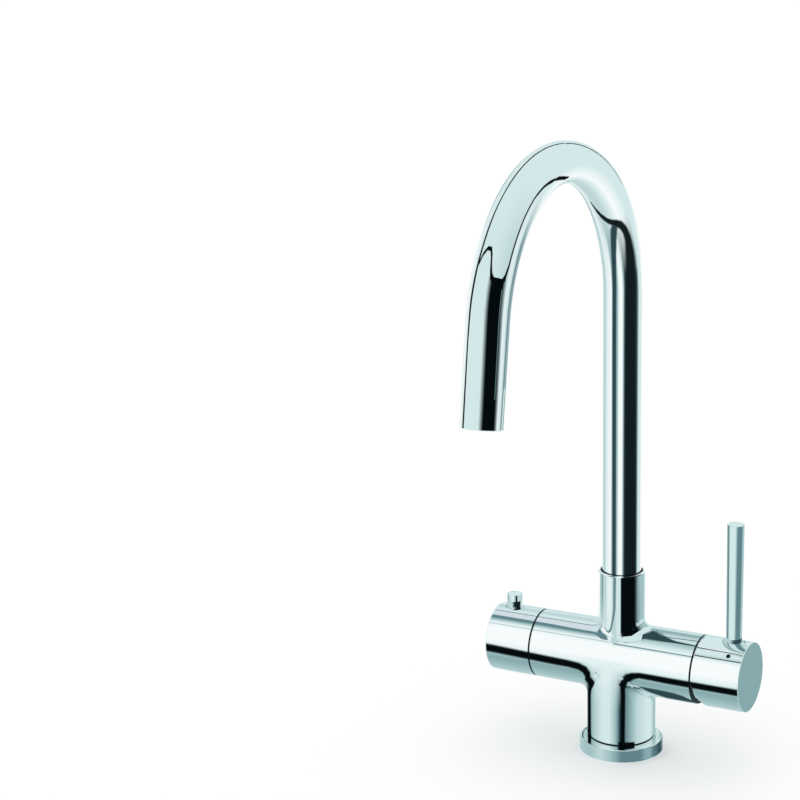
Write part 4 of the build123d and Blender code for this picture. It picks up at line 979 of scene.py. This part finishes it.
def flat_card(name, colour, left, right, near, far, height):
    """A flat card away from the metal, shown on both sides; returns its stock."""
    sheet = bpy.data.meshes.new(name)
    corners = [(left, near, height), (right, near, height), (right, far, height), (left, far, height)]
    sheet.from_pydata(corners, [], [(0, 1, 2, 3)])
    thing = bpy.data.objects.new(name, sheet)
    stock = bpy.data.materials.new(name)
    stock.use_nodes = True
    stock.cycles.emission_sampling = "NONE"
    stock.node_tree.nodes.clear()
    glow = stock.node_tree.nodes.new("ShaderNodeEmission")
    glow.inputs["Color"].default_value = (*colour, 1.0)
    out = stock.node_tree.nodes.new("ShaderNodeOutputMaterial")
    stock.node_tree.links.new(glow.outputs["Emission"], out.inputs["Surface"])
    sheet.materials.append(stock)
    bpy.context.scene.collection.objects.link(thing)
    only_for_gloss(thing)
    return stock


# Flat self-lit cards and the tent, seen only by the plating, paint its far reflections: a bright table, a
# grey-green patch behind at the right, and a pale ceiling and tent.
flat_card("card_table", bright, -6.0, 6.0, -6.0, 6.0, 0.0004)
flat_card("card_behind_right", shade, 0.10, 0.26, 0.06, 0.34, 0.0008)
tent_cloth = flat_card("card_ceiling", pale, -3.0, 3.0, -3.0, 3.0, 8.0)
bpy.ops.mesh.primitive_uv_sphere_add(segments=48, ring_count=24, radius=9.0)
tent = bpy.context.object
tent.name = "tent"
tent.data.materials.append(tent_cloth)
only_for_gloss(tent)

white_room = bpy.data.worlds.new("white_room")
bpy.context.scene.world = white_room
white_room.use_nodes = True
white_room.node_tree.nodes["Background"].inputs["Color"].default_value = (1.0, 1.0, 1.0, 1.0)
white_room.node_tree.nodes["Background"].inputs["Strength"].default_value = 1.0

bpy.ops.mesh.primitive_circle_add(vertices=96, radius=60.0, fill_type="NGON", location=origin)
table = bpy.context.object
table.name = "table"
table_top = bpy.data.materials.new("table_top")
table_top.use_nodes = True
table.data.materials.append(table_top)
surface = table_top.node_tree.nodes["Principled BSDF"]
surface.inputs["Base Color"].default_value = (0.8, 0.8, 0.8, 1.0)
surface.inputs["Roughness"].default_value = 1.0
surface.inputs["Specular IOR Level"].default_value = 0.0
surface.inputs["Emission Color"].default_value = (1.0, 1.0, 1.0, 1.0)
surface.inputs["Emission Strength"].default_value = 0.22

lens = bpy.data.cameras.new("camera")
lens.sensor_width = 36.0
lens.lens = 100.70
camera = bpy.data.objects.new("camera", lens)
bpy.context.scene.collection.objects.link(camera)
camera.location = (0.56407, -1.27772, 0.58549)
camera.rotation_euler = Euler([math.radians(a) for a in (76.0755, 1.1385, 29.3906)], "XYZ")
bpy.context.scene.camera = camera
bpy.context.scene.view_settings.view_transform = "Standard"
